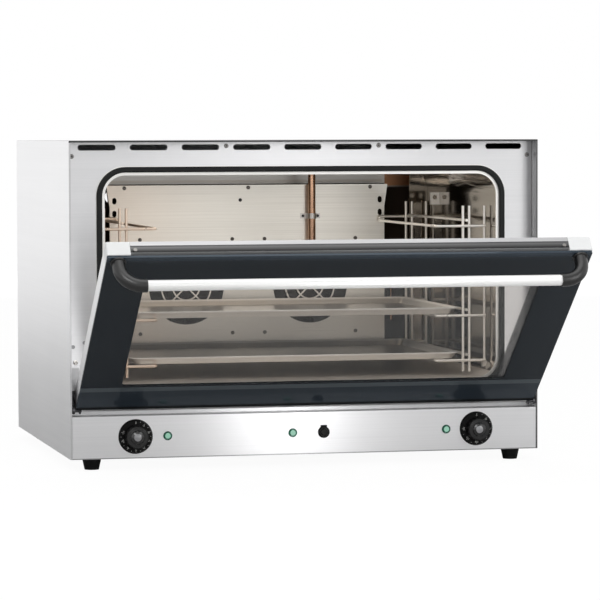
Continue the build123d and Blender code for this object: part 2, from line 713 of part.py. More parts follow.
def tray(level):
    """Shallow tray with flared sides and a flat rim, resting on one rack level."""
    floor = level_z(level) + WIRE_R + SEAT_GAP
    mid_y = TRAY_FRONT_Y + TRAY_D / 2
    low = Plane(origin=(0, mid_y, floor))
    high = Plane(origin=(0, mid_y, floor + TRAY_H))
    wide = 2 * (TRAY_HALF - TRAY_RIM)
    deep = TRAY_D - 2 * TRAY_RIM
    outer = loft([
        low * RectangleRounded(wide - 2 * TRAY_FLARE, deep - 2 * TRAY_FLARE, 12.0),
        high * RectangleRounded(wide, deep, 18.0),
    ])
    inner = loft([
        Pos(0, 0, TRAY_WALL) * low * RectangleRounded(
            wide - 2 * TRAY_FLARE - TRAY_WALL, deep - 2 * TRAY_FLARE - TRAY_WALL, 11.5),
        Pos(0, 0, TRAY_WALL) * high * RectangleRounded(wide - TRAY_WALL, deep - TRAY_WALL, 17.5),
    ])
    rim = RectangleRounded(2 * TRAY_HALF, TRAY_D, 20.0) - RectangleRounded(wide - 1.0, deep - 1.0, 17.5)
    return outer - inner + extrude(high * rim, -TRAY_WALL)


# Controls

def dial_body(x):
    """Case of the timer or the thermostat behind its knob, bored for the stem."""
    wide, deep, high = TIMER_SIZE
    case = box(x - wide / 2, x + wide / 2, SHEET, SHEET + deep, CONTROL_Z - high / 2, CONTROL_Z + high / 2)
    for side in (-1, 1):
        lug_z = CONTROL_Z + side * (high / 2 + 3.0)
        case += box(x - 6.0, x + 6.0, SHEET, SHEET + 2.0, lug_z - 4.0, lug_z + 4.0)
    return case - rod_y(x, CONTROL_Z, STEM_R + RUN_GAP, SHEET, SHEET + 24.0)


def knob(x):
    """Knob with a dished dial skirt, a fluted grip and a stem."""
    front = -SEAT_GAP - SKIRT_T - GRIP_LONG
    skirt = Pos(x, -SEAT_GAP, CONTROL_Z) * Rot(90, 0, 0) * Pos(0, 0, SKIRT_T / 2) * Cone(
        SKIRT_R, SKIRT_R - 3.0, SKIRT_T)
    ring = Pos(x, CONTROL_Z) * Circle(GRIP_R)
    flutes = [
        Pos(x, CONTROL_Z) * Rot(0, 0, 360.0 / GRIP_FLUTES * i) * Pos(GRIP_R + 1.4, 0) * Circle(2.6)
        for i in range(GRIP_FLUTES)
    ]
    grip = slab(ring - (Sketch() + flutes), front, -SEAT_GAP - SKIRT_T)
    recess = rod_y(x, CONTROL_Z, CAP_R + SLIDE_GAP, front, front + 3.0)
    stem = rod_y(x, CONTROL_Z, STEM_R, -SEAT_GAP, SHEET + 20.0)
    return skirt + grip + stem - recess


def knob_cap(x):
    """Round cap let into the end of the grip, slightly domed."""
    front = -SEAT_GAP - SKIRT_T - GRIP_LONG
    cap = rod_y(x, CONTROL_Z, CAP_R, front - 1.2, front + 3.0)
    return fillet(cap.edges().group_by(Axis.Y)[0], 1.0)


def indicator_lenses():
    """Three domed lenses with their necks through the panel."""
    lenses = []
    for x in LAMP_X:
        dome = rod_y(x, CONTROL_Z, LAMP_R, -3.4, 0)
        dome = fillet(dome.edges().group_by(Axis.Y)[0], 2.2)
        lenses.append(dome + rod_y(x, CONTROL_Z, LAMP_NECK_R, 0, 24.0))
    return group(lenses)


def indicator_bezels():
    """Three round rims pressed against the panel round the lenses."""
    rims = []
    for x in LAMP_X:
        rim = rod_y(x, CONTROL_Z, LAMP_BEZEL_R, -1.8, 0)
        rim = chamfer(rim.edges().group_by(Axis.Y)[0], 0.8)
        rims.append(rim - rod_y(x, CONTROL_Z, LAMP_R + SLIDE_GAP, -1.8, 0))
    return group(rims)


def steam_button():
    """Round push button on a short plunger."""
    button = rod_y(BUTTON_X, CONTROL_Z, BUTTON_R, -BUTTON_PROUD, 4.0)
    return fillet(button.edges().group_by(Axis.Y)[0], 1.6)


def steam_switch():
    """Switch behind the panel with its round bezel, a small lug on top and the button's well."""
    bezel = rod_y(BUTTON_X, CONTROL_Z, BUTTON_BEZEL_R, -2.6, 0)
    bezel = chamfer(bezel.edges().group_by(Axis.Y)[0], 1.0)
    lug = box(BUTTON_X - 5.5, BUTTON_X + 5.5, -1.6, 0, CONTROL_Z + 8.0, CONTROL_Z + 12.2)
    switch = bezel + lug + rod_y(BUTTON_X, CONTROL_Z, SWITCH_R, 0, 30.0)
    return switch - rod_y(BUTTON_X, CONTROL_Z, BUTTON_R + SLIDE_GAP, -2.6, 4.0 + BUTTON_TRAVEL + 1.0)


# Lamp, probe, pipes and fittings

def oven_lamp():
    """Ceramic cup above the ceiling, flush with it, with a capsule bulb inside."""
    shoulder = CAV_Z1 + LAMP_GLASS + SEAT_GAP
    cup = rod_z(0, LAMP_Y, LAMP_SOCKET_R, CAV_Z1, CAV_Z1 + LAMP_CUP_H)
    cup -= rod_z(0, LAMP_Y, LAMP_GLASS_R + SEAT_GAP, CAV_Z1, shoulder)
    cup -= rod_z(0, LAMP_Y, LAMP_GLASS_R - 2.0, shoulder, shoulder + 20.0)
    bulb = rod_z(0, LAMP_Y, 5.0, shoulder + 4.0, shoulder + 20.0)
    return cup + fillet(bulb.edges().group_by(Axis.Z)[0], 3.0)


def oven_lamp_glass():
    """Cover glass in the lamp's cup, flush with the cavity's ceiling."""
    glass = rod_z(0, LAMP_Y, LAMP_GLASS_R, CAV_Z1, CAV_Z1 + LAMP_GLASS)
    return chamfer(glass.edges().group_by(Axis.Z)[0], 0.6)


def thermostat_probe():
    """Sensing bulb beside the fan with its fine tube to the thermostat."""
    y = CAV_Y1 - PROBE_R - SEAT_GAP
    bulb = rod_z(PROBE_X, y, PROBE_R, PROBE_Z0, PROBE_Z0 + PROBE_LONG)
    back = INSULATION_Y1 + 12.0
    end = SHEET + TIMER_SIZE[1]
    route = FilletPolyline(
        (PROBE_X, y, PROBE_Z0), (PROBE_X, back, PROBE_Z0), (PROBE_X, back, CONTROL_Z),
        (KNOB_X, back - 40.0, CONTROL_Z), (KNOB_X, end, CONTROL_Z), radius=8.0)
    return bulb + sweep((route ^ 0) * Circle(CAPILLARY_R), path=route)


def steam_pipe():
    """Copper pipe from the water valve, over the insulation and down in front of the right fan."""
    back = CASE_D - 34.0
    start = VALVE_Z + 30.0
    route = FilletPolyline(
        (VALVE_X, back, start), (VALVE_X, back, PIPE_Z), (FAN_X, back, PIPE_Z),
        (FAN_X, PIPE_Y, PIPE_Z), (FAN_X, PIPE_Y, PIPE_MOUTH), radius=12.0)
    pipe = sweep((route ^ 0) * Circle(PIPE_R), path=route)
    return pipe - rod_z(FAN_X, PIPE_Y, PIPE_R - 1.2, PIPE_MOUTH, PIPE_MOUTH + 30.0)


def pipe_clip():
    """Saddle that holds the pipe to the baffle, with a screwed foot each side."""
    ring = PIPE_R + SEAT_GAP
    strap = Pos(FAN_X, PIPE_Y) * Circle(ring + 1.5) + rect(
        FAN_X - ring - 1.5, FAN_X + ring + 1.5, PIPE_Y, BAFFLE_FRONT)
    strap += rect(FAN_X - ring - 12.0, FAN_X + ring + 12.0, BAFFLE_FRONT - 1.5, BAFFLE_FRONT)
    strap -= Pos(FAN_X, PIPE_Y) * Circle(ring)
    strap -= rect(FAN_X - ring, FAN_X + ring, PIPE_Y, BAFFLE_FRONT)
    clip = Pos(0, 0, CLIP_Z - 5.0) * extrude(strap, 10.0)
    for side in (-1, 1):
        clip += rod_y(FAN_X + side * (ring + 7.0), CLIP_Z, 2.8, BAFFLE_FRONT - 3.2, BAFFLE_FRONT - 1.5)
    return clip


def water_valve():
    """Solenoid valve with its threaded inlet through the back panel and an outlet on top."""
    y = CASE_D - 34.0
    valve = box(VALVE_X - 18.0, VALVE_X + 18.0, y - 18.0, y + 18.0, VALVE_Z - 20.0, VALVE_Z + 18.0)
    valve += rod_y(VALVE_X, VALVE_Z, INLET_R + 4.0, y + 18.0, BACK_Y)
    valve += rod_y(VALVE_X, VALVE_Z, INLET_R, BACK_Y, CASE_D + REAR_STUB)
    valve += rod_z(VALVE_X, y, PIPE_R + 2.0, VALVE_Z + 18.0, VALVE_Z + 30.0)
    valve += rod_y(VALVE_X, VALVE_Z, 12.0, y - 44.0, y - 18.0)
    return valve - rod_y(VALVE_X, VALVE_Z, INLET_R - 3.0, CASE_D + 2.0, CASE_D + REAR_STUB)


def exhaust_pipe():
    """Steam outlet from the cavity's rear wall through the back panel."""
    tip = CASE_D + REAR_STUB - 6.0
    pipe = rod_y(EXHAUST_X, EXHAUST_Z, EXHAUST_R, CAV_Y1 + LINER, tip)
    return pipe - rod_y(EXHAUST_X, EXHAUST_Z, EXHAUST_R - SHEET, CAV_Y1 + LINER, tip)


def cable_gland():
    """Gland for the mains lead: inner nut, outer hexagon and domed cap with its hole."""
    tip = CASE_D + REAR_STUB
    hexagon = Pos(MAINS_X, GLAND_Z) * RegularPolygon(13.0, 6)
    gland = slab(hexagon, CASE_D, CASE_D + 6.0) + slab(hexagon, BACK_Y - 5.0, BACK_Y)
    gland += rod_y(MAINS_X, GLAND_Z, GLAND_THREAD_R, BACK_Y - 10.0, CASE_D)
    dome = rod_y(MAINS_X, GLAND_Z, 10.0, CASE_D + 6.0, tip)
    gland += fillet(dome.edges().group_by(Axis.Y)[-1], 3.5)
    return gland - rod_y(MAINS_X, GLAND_Z, 4.0, BACK_Y - 10.0, tip)


def terminal_block():
    """Five-way mains terminal on the base pan behind the gland."""
    block = box(MAINS_X - 32.0, MAINS_X + 32.0, BACK_Y - 60.0, BACK_Y - 36.0, SHEET, SHEET + 24.0)
    for i in range(5):
        x = MAINS_X - 24.0 + 12.0 * i
        block -= rod_z(x, BACK_Y - 48.0, 3.2, SHEET + 12.0, SHEET + 24.0)
    return block


# Door, modelled closed and swung open afterwards

def door_rect(t0, t1, s0, s1):
    """A rectangle of a door section, from depths and heights."""
    return rect(DOOR_FACE_Y + t0, DOOR_FACE_Y + t1, DOOR_Z0 + s0, DOOR_Z0 + s1)


def door_box(x0, x1, t0, t1, s0, s1):
    """A block of the door, from depths and heights."""
    return box(x0, x1, DOOR_FACE_Y + t0, DOOR_FACE_Y + t1, DOOR_Z0 + s0, DOOR_Z0 + s1)


def swing(solid):
    """Turns a door piece from closed to the open position in which the oven rests."""
    return solid.rotate(HINGE_AXIS, DOOR_OPEN)


def door_outer_glass():
    """Front pane over the whole door, pierced for the handle's bolts."""
    high = DOOR_H - GLASS_TOP_IN - GLASS_START
    pane = Pos(0, DOOR_Z0 + GLASS_START + high / 2) * RectangleRounded(2 * DOOR_HALF, high, 3.0)
    pane -= Sketch() + [Pos(side * ELBOW_X, DOOR_Z0 + HANDLE_S) * Circle(4.0) for side in (-1, 1)]
    return slab(pane, DOOR_FACE_Y, DOOR_FACE_Y + GLASS)


def door_inner_glass():
    """Inner pane, held between the lips of the two rails."""
    half = DOOR_HALF - PROFILE_WALL - 22.0
    low = DOOR_Z0 + PROFILE_WALL - 0.2 + SEAT_GAP
    high = DOOR_Z0 + DOOR_H - 8.0 - SEAT_GAP
    pane = Pos(0, (low + high) / 2) * RectangleRounded(2 * half, high - low, 2.0)
    notch = rect(DOOR_HALF - BLOCK_W - PANE_GAP, half, DOOR_Z0 + DOOR_H - BLOCK_H - PANE_GAP, high)
    pane -= notch
    pane -= mirror(notch, about=Plane.YZ)
    front = DOOR_FACE_Y + INNER_GLASS_FROM
    return slab(pane, front, front + GLASS)


def door_side():
    """Right side profile: a channel open towards the middle, notched for the hinge strap."""
    wall = door_box(DOOR_HALF - PROFILE_WALL, DOOR_HALF, GLASS, DOOR_T, 4.0, DOOR_H - BLOCK_H)
    inner = DOOR_HALF - PROFILE_W
    rear = door_box(inner, DOOR_HALF, DOOR_T - PROFILE_WALL, DOOR_T, 4.0, DOOR_H - BLOCK_H)
    front = door_box(inner + 10.0, DOOR_HALF, GLASS, GLASS + PROFILE_WALL, 4.0, DOOR_H - BLOCK_H)
    profile = wall + rear + front
    notch = door_box(
        STRAP_X - 2.0, STRAP_X + STRAP_T + 2.0, DOOR_T - PROFILE_WALL, DOOR_T, 4.0, 40.0)
    pocket = door_box(STRAP_X - 2.0, STRAP_X + STRAP_T + 2.0, GLASS, GLASS + PROFILE_WALL, 4.0, 6.0)
    return profile - notch - pocket


def corner_block():
    """Moulded block at the door's upper right corner, bored for the handle's bolt."""
    block = door_box(DOOR_HALF - BLOCK_W, DOOR_HALF, GLASS, DOOR_T, DOOR_H - BLOCK_H, DOOR_H)
    block = fillet(block.edges().filter_by(Axis.Y).group_by(Axis.Z)[-1].group_by(Axis.X)[-1], 3.0)
    y = DOOR_FACE_Y
    z = DOOR_Z0 + HANDLE_S
    block -= rod_y(ELBOW_X, z, SMALL_SCREW_R + 0.5 + HOLE_GAP, y + GLASS, y + DOOR_T)
    return block - rod_y(ELBOW_X, z, 5.0 + HOLE_GAP, y + DOOR_T - 4.0, y + DOOR_T)


def door_top_rail():
    """Drawn rail between the corner blocks: a rear wall, a stepped top and lips for the inner pane."""
    top = DOOR_H
    hold = INNER_GLASS_FROM
    step = top - RAIL_STEP
    section = door_rect(RAIL_FRONT, DOOR_T, step - 2.0, step)
    section += door_rect(DOOR_T - 2.0, DOOR_T, top - 21.0, top)
    section += door_rect(22.0, DOOR_T, top - 2.0, top)
    section += door_rect(RAIL_FRONT, RAIL_FRONT + 2.0, top - 18.0, step)
    section += door_rect(hold - 2.0, hold - SLIDE_GAP, top - 18.0, step - 2.0)
    section += door_rect(hold + GLASS + SLIDE_GAP, hold + GLASS + 2.0, top - 21.0, step - 2.0)
    half = DOOR_HALF - BLOCK_W - SEAT_GAP
    rail = bar(section, -half, half)
    for side in (-1, 1):
        rail -= rod_z(side * (half - 8.0), DOOR_FACE_Y + 14.0, SMALL_SCREW_R + HOLE_GAP,
                      DOOR_Z0 + step - 2.0, DOOR_Z0 + step)
    return rail


def door_bottom_rail():
    """Drawn rail along the lower edge, with a front lip below the outer pane."""
    hold = INNER_GLASS_FROM
    section = door_rect(0, DOOR_T, 0, 2.0)
    section += door_rect(0, 2.0, 0, GLASS_START - SEAT_GAP)
    section += door_rect(GLASS + SLIDE_GAP, GLASS + 2.0, 0, 20.0)
    section += door_rect(DOOR_T - 2.0, DOOR_T, 0, 20.0)
    section += door_rect(hold - 2.0, hold - SLIDE_GAP, 0, 20.0)
    section += door_rect(hold + GLASS + SLIDE_GAP, hold + GLASS + 2.0, 0, 20.0)
    inner = DOOR_HALF - PROFILE_W - SEAT_GAP
    rail = bar(section, -inner, inner)
    lip = door_box(-STRAP_X + 3.0, STRAP_X - 3.0, 0, 2.0, 0, GLASS_START - SEAT_GAP)
    return rail + lip


def handle_tube():
    """Ribbed aluminium handle bar between the elbows."""
    y = DOOR_FACE_Y - HANDLE_OUT
    z = DOOR_Z0 + HANDLE_S
    grooves = [
        Pos(y, z) * Rot(0, 0, 360.0 / TUBE_RIBS * i) * Pos(HANDLE_R + 0.25, 0) * Rectangle(1.1, 1.1)
        for i in range(TUBE_RIBS)
    ]
    section = Pos(y, z) * Circle(HANDLE_R) - (Sketch() + grooves) - Pos(y, z) * Circle(HANDLE_R - 2.2)
    return bar(section, -HANDLE_HALF, HANDLE_HALF)


def handle_elbow():
    """Curved black elbow from the pane to the right end of the handle bar."""
    y = DOOR_FACE_Y
    z = DOOR_Z0 + HANDLE_S
    route = FilletPolyline(
        (ELBOW_X, y, z), (ELBOW_X, y - HANDLE_OUT, z), (HANDLE_HALF, y - HANDLE_OUT, z), radius=ELBOW_BEND)
    elbow = sweep((route ^ 0) * Circle(ELBOW_R), path=route)
    foot_ring = rod_y(ELBOW_X, z, ELBOW_R + 2.0, y - 3.0, y)
    elbow += fillet(foot_ring.edges().group_by(Axis.Y)[0], 1.5)
    return elbow - rod_y(ELBOW_X, z, SMALL_SCREW_R + 0.5 + RUN_GAP, y - 12.0, y)


def door_screws():
    """Bolts through the corner blocks into the elbows, and the rail's end screws."""
    y = DOOR_FACE_Y
    z = DOOR_Z0 + HANDLE_S
    bolt = rod_y(ELBOW_X, z, 5.0, y + DOOR_T - 4.0, y + DOOR_T - 0.5)
    bolt += rod_y(ELBOW_X, z, SMALL_SCREW_R + 0.5, y - 11.0, y + DOOR_T - 4.0)
    end_x = DOOR_HALF - BLOCK_W - SEAT_GAP - 8.0
    step = DOOR_Z0 + DOOR_H - RAIL_STEP
    screw = rod_z(end_x, y + 14.0, 3.2, step, step + 1.8)
    screw += rod_z(end_x, y + 14.0, SMALL_SCREW_R, step - 9.0, step)
    return group([bolt, other_side(bolt), screw, other_side(screw)])


# Hinges

def hinge_strap():
    """Right hinge leaf: pivot eye, arm up into the door and a quadrant strap through the panel."""
    eye = Circle(EYE_R)
    arm = rect(-HINGE_BEHIND - 0.5, 6.0, 0, GLASS_START + 1.0)
    tab = rect(GLASS - HINGE_BEHIND + PROFILE_WALL + 0.3, 22.0, GLASS_START - 3.5, 112.0)
    sweep_angle = QUADRANT_TOP - QUADRANT_TAIL
    band = make_face([
        CenterArc((0, 0), QUADRANT_OUT, QUADRANT_TAIL, sweep_angle),
        CenterArc((0, 0), QUADRANT_IN, QUADRANT_TAIL, sweep_angle),
        quadrant_edge(QUADRANT_TAIL),
        quadrant_edge(QUADRANT_TOP),
    ])
    leaf = eye + arm + tab + band - Circle(PIN_R + RUN_GAP)
    leaf = Pos(HINGE_Y, HINGE_Z) * leaf
    plate = bar(leaf, STRAP_X, STRAP_X + STRAP_T)
    for up in (50.0, 90.0):
        boss = rod_x(HINGE_Y + 13.0, HINGE_Z + up, 4.0, STRAP_X + STRAP_T, DOOR_HALF - PROFILE_WALL)
        plate += boss
    return plate


def quadrant_edge(angle):
    """One radial end of the quadrant strap."""
    turn = math.radians(angle)
    return Line(
        (QUADRANT_IN * math.cos(turn), QUADRANT_IN * math.sin(turn)),
        (QUADRANT_OUT * math.cos(turn), QUADRANT_OUT * math.sin(turn)))


def hinge_bracket():
    """Right hinge bracket: an ear beside the door, a foot on the front panel and the pivot pin."""
    x1 = BRACKET_X + BRACKET_T
    ear = Circle(EYE_R) + rect(0, PANEL_Y - HINGE_Y, -EYE_R, EYE_R)
    bracket = bar(Pos(HINGE_Y, HINGE_Z) * ear, BRACKET_X, x1)
    bracket += box(STRAP_X + STRAP_T + 3.5, x1, PANEL_Y - 1.5, PANEL_Y, HINGE_Z - EYE_R, HINGE_Z + 26.0)
    return bracket + rod_x(HINGE_Y, HINGE_Z, PIN_R, STRAP_X - 1.5, x1 + 1.0)


def hinge_brake():
    """Friction brake behind the panel: two cheeks beside the strap, joined above it."""
    mid = STRAP_X + STRAP_T / 2
    low = HINGE_Z + 4.0
    high = STRAP_HOLE_TOP + 8.0
    y0 = PANEL_Y + SHEET
    outside = box(mid - 5.5, mid + 5.5, y0, y0 + 26.0, low, high)
    slot = box(STRAP_X - SEAT_GAP, STRAP_X + STRAP_T + SEAT_GAP, y0, y0 + 26.0, low, high - 3.0)
    return outside - slot


PIECES = {
    "casing_wrap": casing_wrap,
    "base_pan": base_pan,
    "back_panel": back_panel,
    "front_panel": front_panel,
    "front_screws": front_screws,
    "control_panel": control_panel,
    "feet": feet,
    "cavity_liner": cavity_liner,
    "insulation": insulation,
    "door_gasket": door_gasket,
    "fan_baffle": fan_baffle,
    "baffle_posts": baffle_posts,
    "air_strips": air_strips,
    "fan_guards": fan_guards,
    "cavity_screws": cavity_screws,
    "fan_wheel_left": lambda: fan_wheel(-FAN_X),
    "fan_wheel_right": lambda: fan_wheel(FAN_X),
    "fan_shaft_left": lambda: fan_shaft(-FAN_X),
    "fan_shaft_right": lambda: fan_shaft(FAN_X),
    "fan_motor_left": lambda: fan_motor(-FAN_X),
    "fan_motor_right": lambda: fan_motor(FAN_X),
    "ring_heater_left": lambda: ring_heater(-FAN_X),
    "ring_heater_right": lambda: ring_heater(FAN_X),
    "side_rack_right": side_rack,
    "side_rack_left": lambda: other_side(side_rack()),
    "rack_brackets": rack_brackets,
    "tray_lower": lambda: tray(TRAY_LEVELS[0]),
    "tray_upper": lambda: tray(TRAY_LEVELS[1]),
    "timer": lambda: dial_body(-KNOB_X),
    "thermostat": lambda: dial_body(KNOB_X),
    "timer_knob": lambda: knob(-KNOB_X),
    "thermostat_knob": lambda: knob(KNOB_X),
    "timer_knob_cap": lambda: knob_cap(-KNOB_X),
    "thermostat_knob_cap": lambda: knob_cap(KNOB_X),
    "indicator_lenses": indicator_lenses,
    "indicator_bezels": indicator_bezels,
    "steam_button": steam_button,
    "steam_switch": steam_switch,
    "oven_lamp": oven_lamp,
    "oven_lamp_glass": oven_lamp_glass,
    "thermostat_probe": thermostat_probe,
    "steam_pipe": steam_pipe,
    "pipe_clip": pipe_clip,
    "water_valve": water_valve,
    "exhaust_pipe": exhaust_pipe,
    "cable_gland": cable_gland,
    "terminal_block": terminal_block,
    "hinge_brackets": lambda: both_sides(hinge_bracket()),
    "hinge_brakes": lambda: both_sides(hinge_brake()),
}

DOOR_PIECES = {
    "door_outer_glass": door_outer_glass,
    "door_inner_glass": door_inner_glass,
    "door_side_right": door_side,
    "door_side_left": lambda: other_side(door_side()),
    "door_corner_blocks": lambda: both_sides(corner_block()),
    "door_top_rail": door_top_rail,
    "door_bottom_rail": door_bottom_rail,
    "handle_tube": handle_tube,
    "handle_elbows": lambda: both_sides(handle_elbow()),
    "door_screws": door_screws,
    "hinge_straps": lambda: both_sides(hinge_strap()),
}


def build():
    """Every node by name, in the frame it is written in."""
    nodes = {name: make() for name, make in PIECES.items()}
    nodes.update({name: swing(make()) for name, make in DOOR_PIECES.items()})
    return {name: Pos(0, Y_SHIFT, FOOT_H) * solid for name, solid in nodes.items()}


def main():
    """Writes one STEP file for each node."""
    os.makedirs("parts", exist_ok=True)
    for name, solid in build().items():
        export_step(solid, f"parts/{name}.step")
    print("nodes", len(PIECES) + len(DOOR_PIECES))
    print("shift of the origin along Y", round(Y_SHIFT, 3))


if __name__ == "__main__":
    main()
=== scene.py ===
"""Looks of the countertop convection oven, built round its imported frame.

All lengths are in metres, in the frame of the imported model: X runs to the right, Y from the front
to the back and Z up from the floor. Places come from the frame's own nodes and joints where it has
them, so each piece sits where its carrier is.
"""

import json
import math

import bmesh
import bpy
from mathutils import Matrix, Vector


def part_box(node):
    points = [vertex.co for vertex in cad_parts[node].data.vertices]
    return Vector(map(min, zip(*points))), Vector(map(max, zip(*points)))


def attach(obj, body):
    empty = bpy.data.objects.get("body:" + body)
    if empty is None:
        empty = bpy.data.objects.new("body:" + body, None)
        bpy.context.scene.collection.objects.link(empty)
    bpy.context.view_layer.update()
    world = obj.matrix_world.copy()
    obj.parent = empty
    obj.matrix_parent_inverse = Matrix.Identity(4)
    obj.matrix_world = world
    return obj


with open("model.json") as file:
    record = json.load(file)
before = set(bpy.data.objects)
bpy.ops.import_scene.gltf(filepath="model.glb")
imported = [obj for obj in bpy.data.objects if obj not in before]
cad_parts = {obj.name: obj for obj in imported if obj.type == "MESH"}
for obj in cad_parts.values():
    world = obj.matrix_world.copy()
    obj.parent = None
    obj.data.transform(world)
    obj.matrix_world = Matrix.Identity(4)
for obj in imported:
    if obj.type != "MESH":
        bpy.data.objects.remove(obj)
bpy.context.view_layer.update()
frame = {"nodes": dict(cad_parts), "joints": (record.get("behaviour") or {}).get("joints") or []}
NODES = frame["nodes"]
MM = 0.001


def joint_named(name):
    """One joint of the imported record."""
    return next(joint for joint in frame["joints"] if joint["name"] == name)


def middle(node):
    """Centre of one node's box."""
    low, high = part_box(node)
    return (low + high) / 2


# Places that the frame gives

CASE_LOW, CASE_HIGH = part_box("casing_wrap")
CASE_FRONT = CASE_LOW.y
PANEL_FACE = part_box("front_panel")[0].y
BAFFLE_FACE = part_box("fan_baffle")[0].y
BAFFLE_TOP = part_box("fan_baffle")[1].z
BACK_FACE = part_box("back_panel")[1].y
LINER_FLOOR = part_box("cavity_liner")[0].z
CONTROL_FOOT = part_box("control_panel")[0].z
TRAY_TOPS = [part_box(name)[1].z for name in ("tray_upper", "tray_lower")]
DIAL_AXES = [Vector(joint_named(name)["pos_m"]) for name in ("timer_turn", "thermostat_turn")]
HINGE = Vector(joint_named("door_hinge")["pos_m"])
OPENED = math.radians(-joint_named("door_hinge")["range_deg"][0])
DOOR_UP = Vector((0, -math.sin(OPENED), math.cos(OPENED)))
DOOR_BACK = Vector((0, math.cos(OPENED), math.sin(OPENED)))

# The door: heights from its lower edge, depths from its outer face, half widths from its middle

HINGE_BEHIND = 3.3 * MM
HINGE_BELOW = 2.5 * MM
WINDOW_HALF = 338.0 * MM
WINDOW_FOOT = 74.0 * MM
WINDOW_HEAD = 352.0 * MM
WINDOW_CORNER = 7.0 * MM
PRINT_EDGE = 12.0 * MM
# Heights of the painted reflections on the print: the paler head's start and fade, then the band's
# brighter step and its top
REFLECTION_HEAD_START = 420.0 * MM
REFLECTION_HEAD_FADE = 20.0 * MM
BAND_STEP = 58.0 * MM
BAND_HEAD = 70.0 * MM
# Blurs, the inner pane's print edge, and the top rail's step and lip
PRINT_BLUR = 1.0 * MM
INNER_PRINT = 334.0 * MM
RAIL_DARK = 9.0 * MM
RAIL_PALE = 22.0 * MM
RAIL_STEP = 440.0 * MM
RAIL_LIP = 12.1 * MM
RAIL_BLUR = 0.3 * MM
SHARP_BLUR = 0.5 * MM

# The casing and its two panels

HEM_FACE = 1.0 * MM
WALL_SKIN = 0.6 * MM
SEAM = 5.0 * MM
FOLD_DEEP = 3.0 * MM
EDGE_LINE = 1.5 * MM
HINGE_ZONE = 397.5 * MM
HINGE_SLOT_FOOT = 100.0 * MM
HINGE_SLOT_HEAD = 137.0 * MM
HINGE_PLATE_HEAD = 176.0 * MM
HINGE_SLOT_BLUR = 1.0 * MM
HINGE_PLATE_BLUR = 2.0 * MM

# The cavity: how far the marks reach from the baffle, the floor and the mouth

LIP_DEEP = 3.0 * MM
FLOOR_LEVEL = 30.0 * MM
BEHIND_NEAR = 2.0 * MM
BEHIND_FAR = 12.0 * MM
SOOT_HEAD = 1.0 * MM
PATCH_LEFT = 281.5 * MM
PATCH_FOOT = -5.0 * MM
PATCH_HEAD = 30.0 * MM
PATCH_SIDE_BLUR = 1.0 * MM
PATCH_BLUR = 3.0 * MM
HEAT_LINE_FOOT = 3.5 * MM
HEAT_LINE_HEAD = 8.5 * MM
HEAT_LINE_LEFT = -263.0 * MM
HEAT_LINE_RIGHT = 276.5 * MM
HEAT_LINE_BLUR = 1.5 * MM
HEAT_LINE_END_BLUR = 2.0 * MM
WARM_START = -330.0 * MM
WARM_END = -50.0 * MM
SHADE_START = 20.0 * MM
SHADE_END = 200.0 * MM
RIM_DEEP = 3.0 * MM
RIM_BLUR = 0.4 * MM
EXHAUST_MOUTH = 3.0 * MM
EXHAUST_BLUR = 1.0 * MM

# The knobs

CAP_CROWN = 6.4 * MM
CAP_BLUR = 0.3 * MM
DOME_R = 16.0 * MM
GRIP_FACE = 19.0 * MM
GRIP_BLUR = 1.0 * MM
GRIP_DOME_R = 26.0 * MM

# How squarely a surface has to face an axis to count as level, upright or flat across it, and
# where the ledge and the lenses' crowns start and end by that measure

LEVEL = 0.7
UPRIGHT = 0.6
FLAT = 0.9
LEDGE_TURN = (0.3, 0.8)
CROWN_TURN = (0.80, 0.97)

# Marks on the finishes: each one's share and tone, then how much rougher or less metallic it is

# Painted shade on the casing, the control panel and the front panel's hinge slots
DEEP_SHADE_TONE = (0.02, 0.02, 0.02)
HEM_ROOF_SHARE = 0.94
HEM_LEFT_SHARE = 0.25
HEM_RIGHT_MORE = 0.60
WALL_SHADE_SHARE = 0.80
WALL_SHADE_TONE = (0.06, 0.06, 0.065)
ROOF_SHADE_SHARE = 0.45
ROOF_SHADE_TONE = (0.20, 0.20, 0.20)
INSIDE_SHADE_SHARE = 0.97
INSIDE_SHADE_TONE = (0.004, 0.004, 0.004)
LEDGE_SHARE = 0.50
CONTROL_FOOT_SHARE = 0.65
CONTROL_SHADE_TONE = (0.12, 0.12, 0.12)
HINGE_SLOT_SHARE = 0.93
HINGE_PLATE_SHARE = 0.45
HEATED_TONES = ((0.90, 0.89, 0.87), (0.74, 0.72, 0.69))
HEAT_LINE_SHARE = 0.5
HEAT_LINE_TONE = (0.62, 0.56, 0.49)
PATCH_TONE = (0.46, 0.24, 0.13)
GROUND_TONE = (0.92, 0.86, 0.79)
# Painted highlight on the cavity's turned lip
LIP_HIGHLIGHT_TONE = (0.98, 0.97, 0.94)
# Painted shade on the baffle, then its warmer tone at the left
SHADE_SHARE = 0.20
SHADE_TONE = (0.10, 0.10, 0.10)
WARM_SHARE = 0.6
WARM_TONE = (0.74, 0.62, 0.52)
# Painted warm reflection on the wires in the left of the cavity
WARM_REFLECTION_SHARE = 0.55
WARM_REFLECTION_TONE = (0.86, 0.58, 0.38)
# Painted highlight along the trays' rolled rims
RIM_HIGHLIGHT_TONE = (1.0, 0.99, 0.97)
# Painted shade on the step of the door's top rail
RAIL_DARK_SHARE = 0.99
RAIL_PALE_SHARE = 0.70
# The black rims of the knobs' caps
CAP_RIM_TONE = (0.008, 0.008, 0.008)
# The matt dark coat: soot on the exhaust pipe, and painted shade on the cavity's walls behind the
# baffle
SOOT_AND_SHADE_TONES = ((0.050, 0.038, 0.030), (0.018, 0.014, 0.012))
# More roughness and less metal, place by place
ROOF_DULL = 0.20
GROUND_DULL = 0.22
LIP_DULL = 0.30
REAR_DULL = 0.35
GROUND_SATIN = 0.6
RIM_SATIN = 0.8

# Grain, mottle and relief: waves to the metre, shares of tone and of roughness, and depths

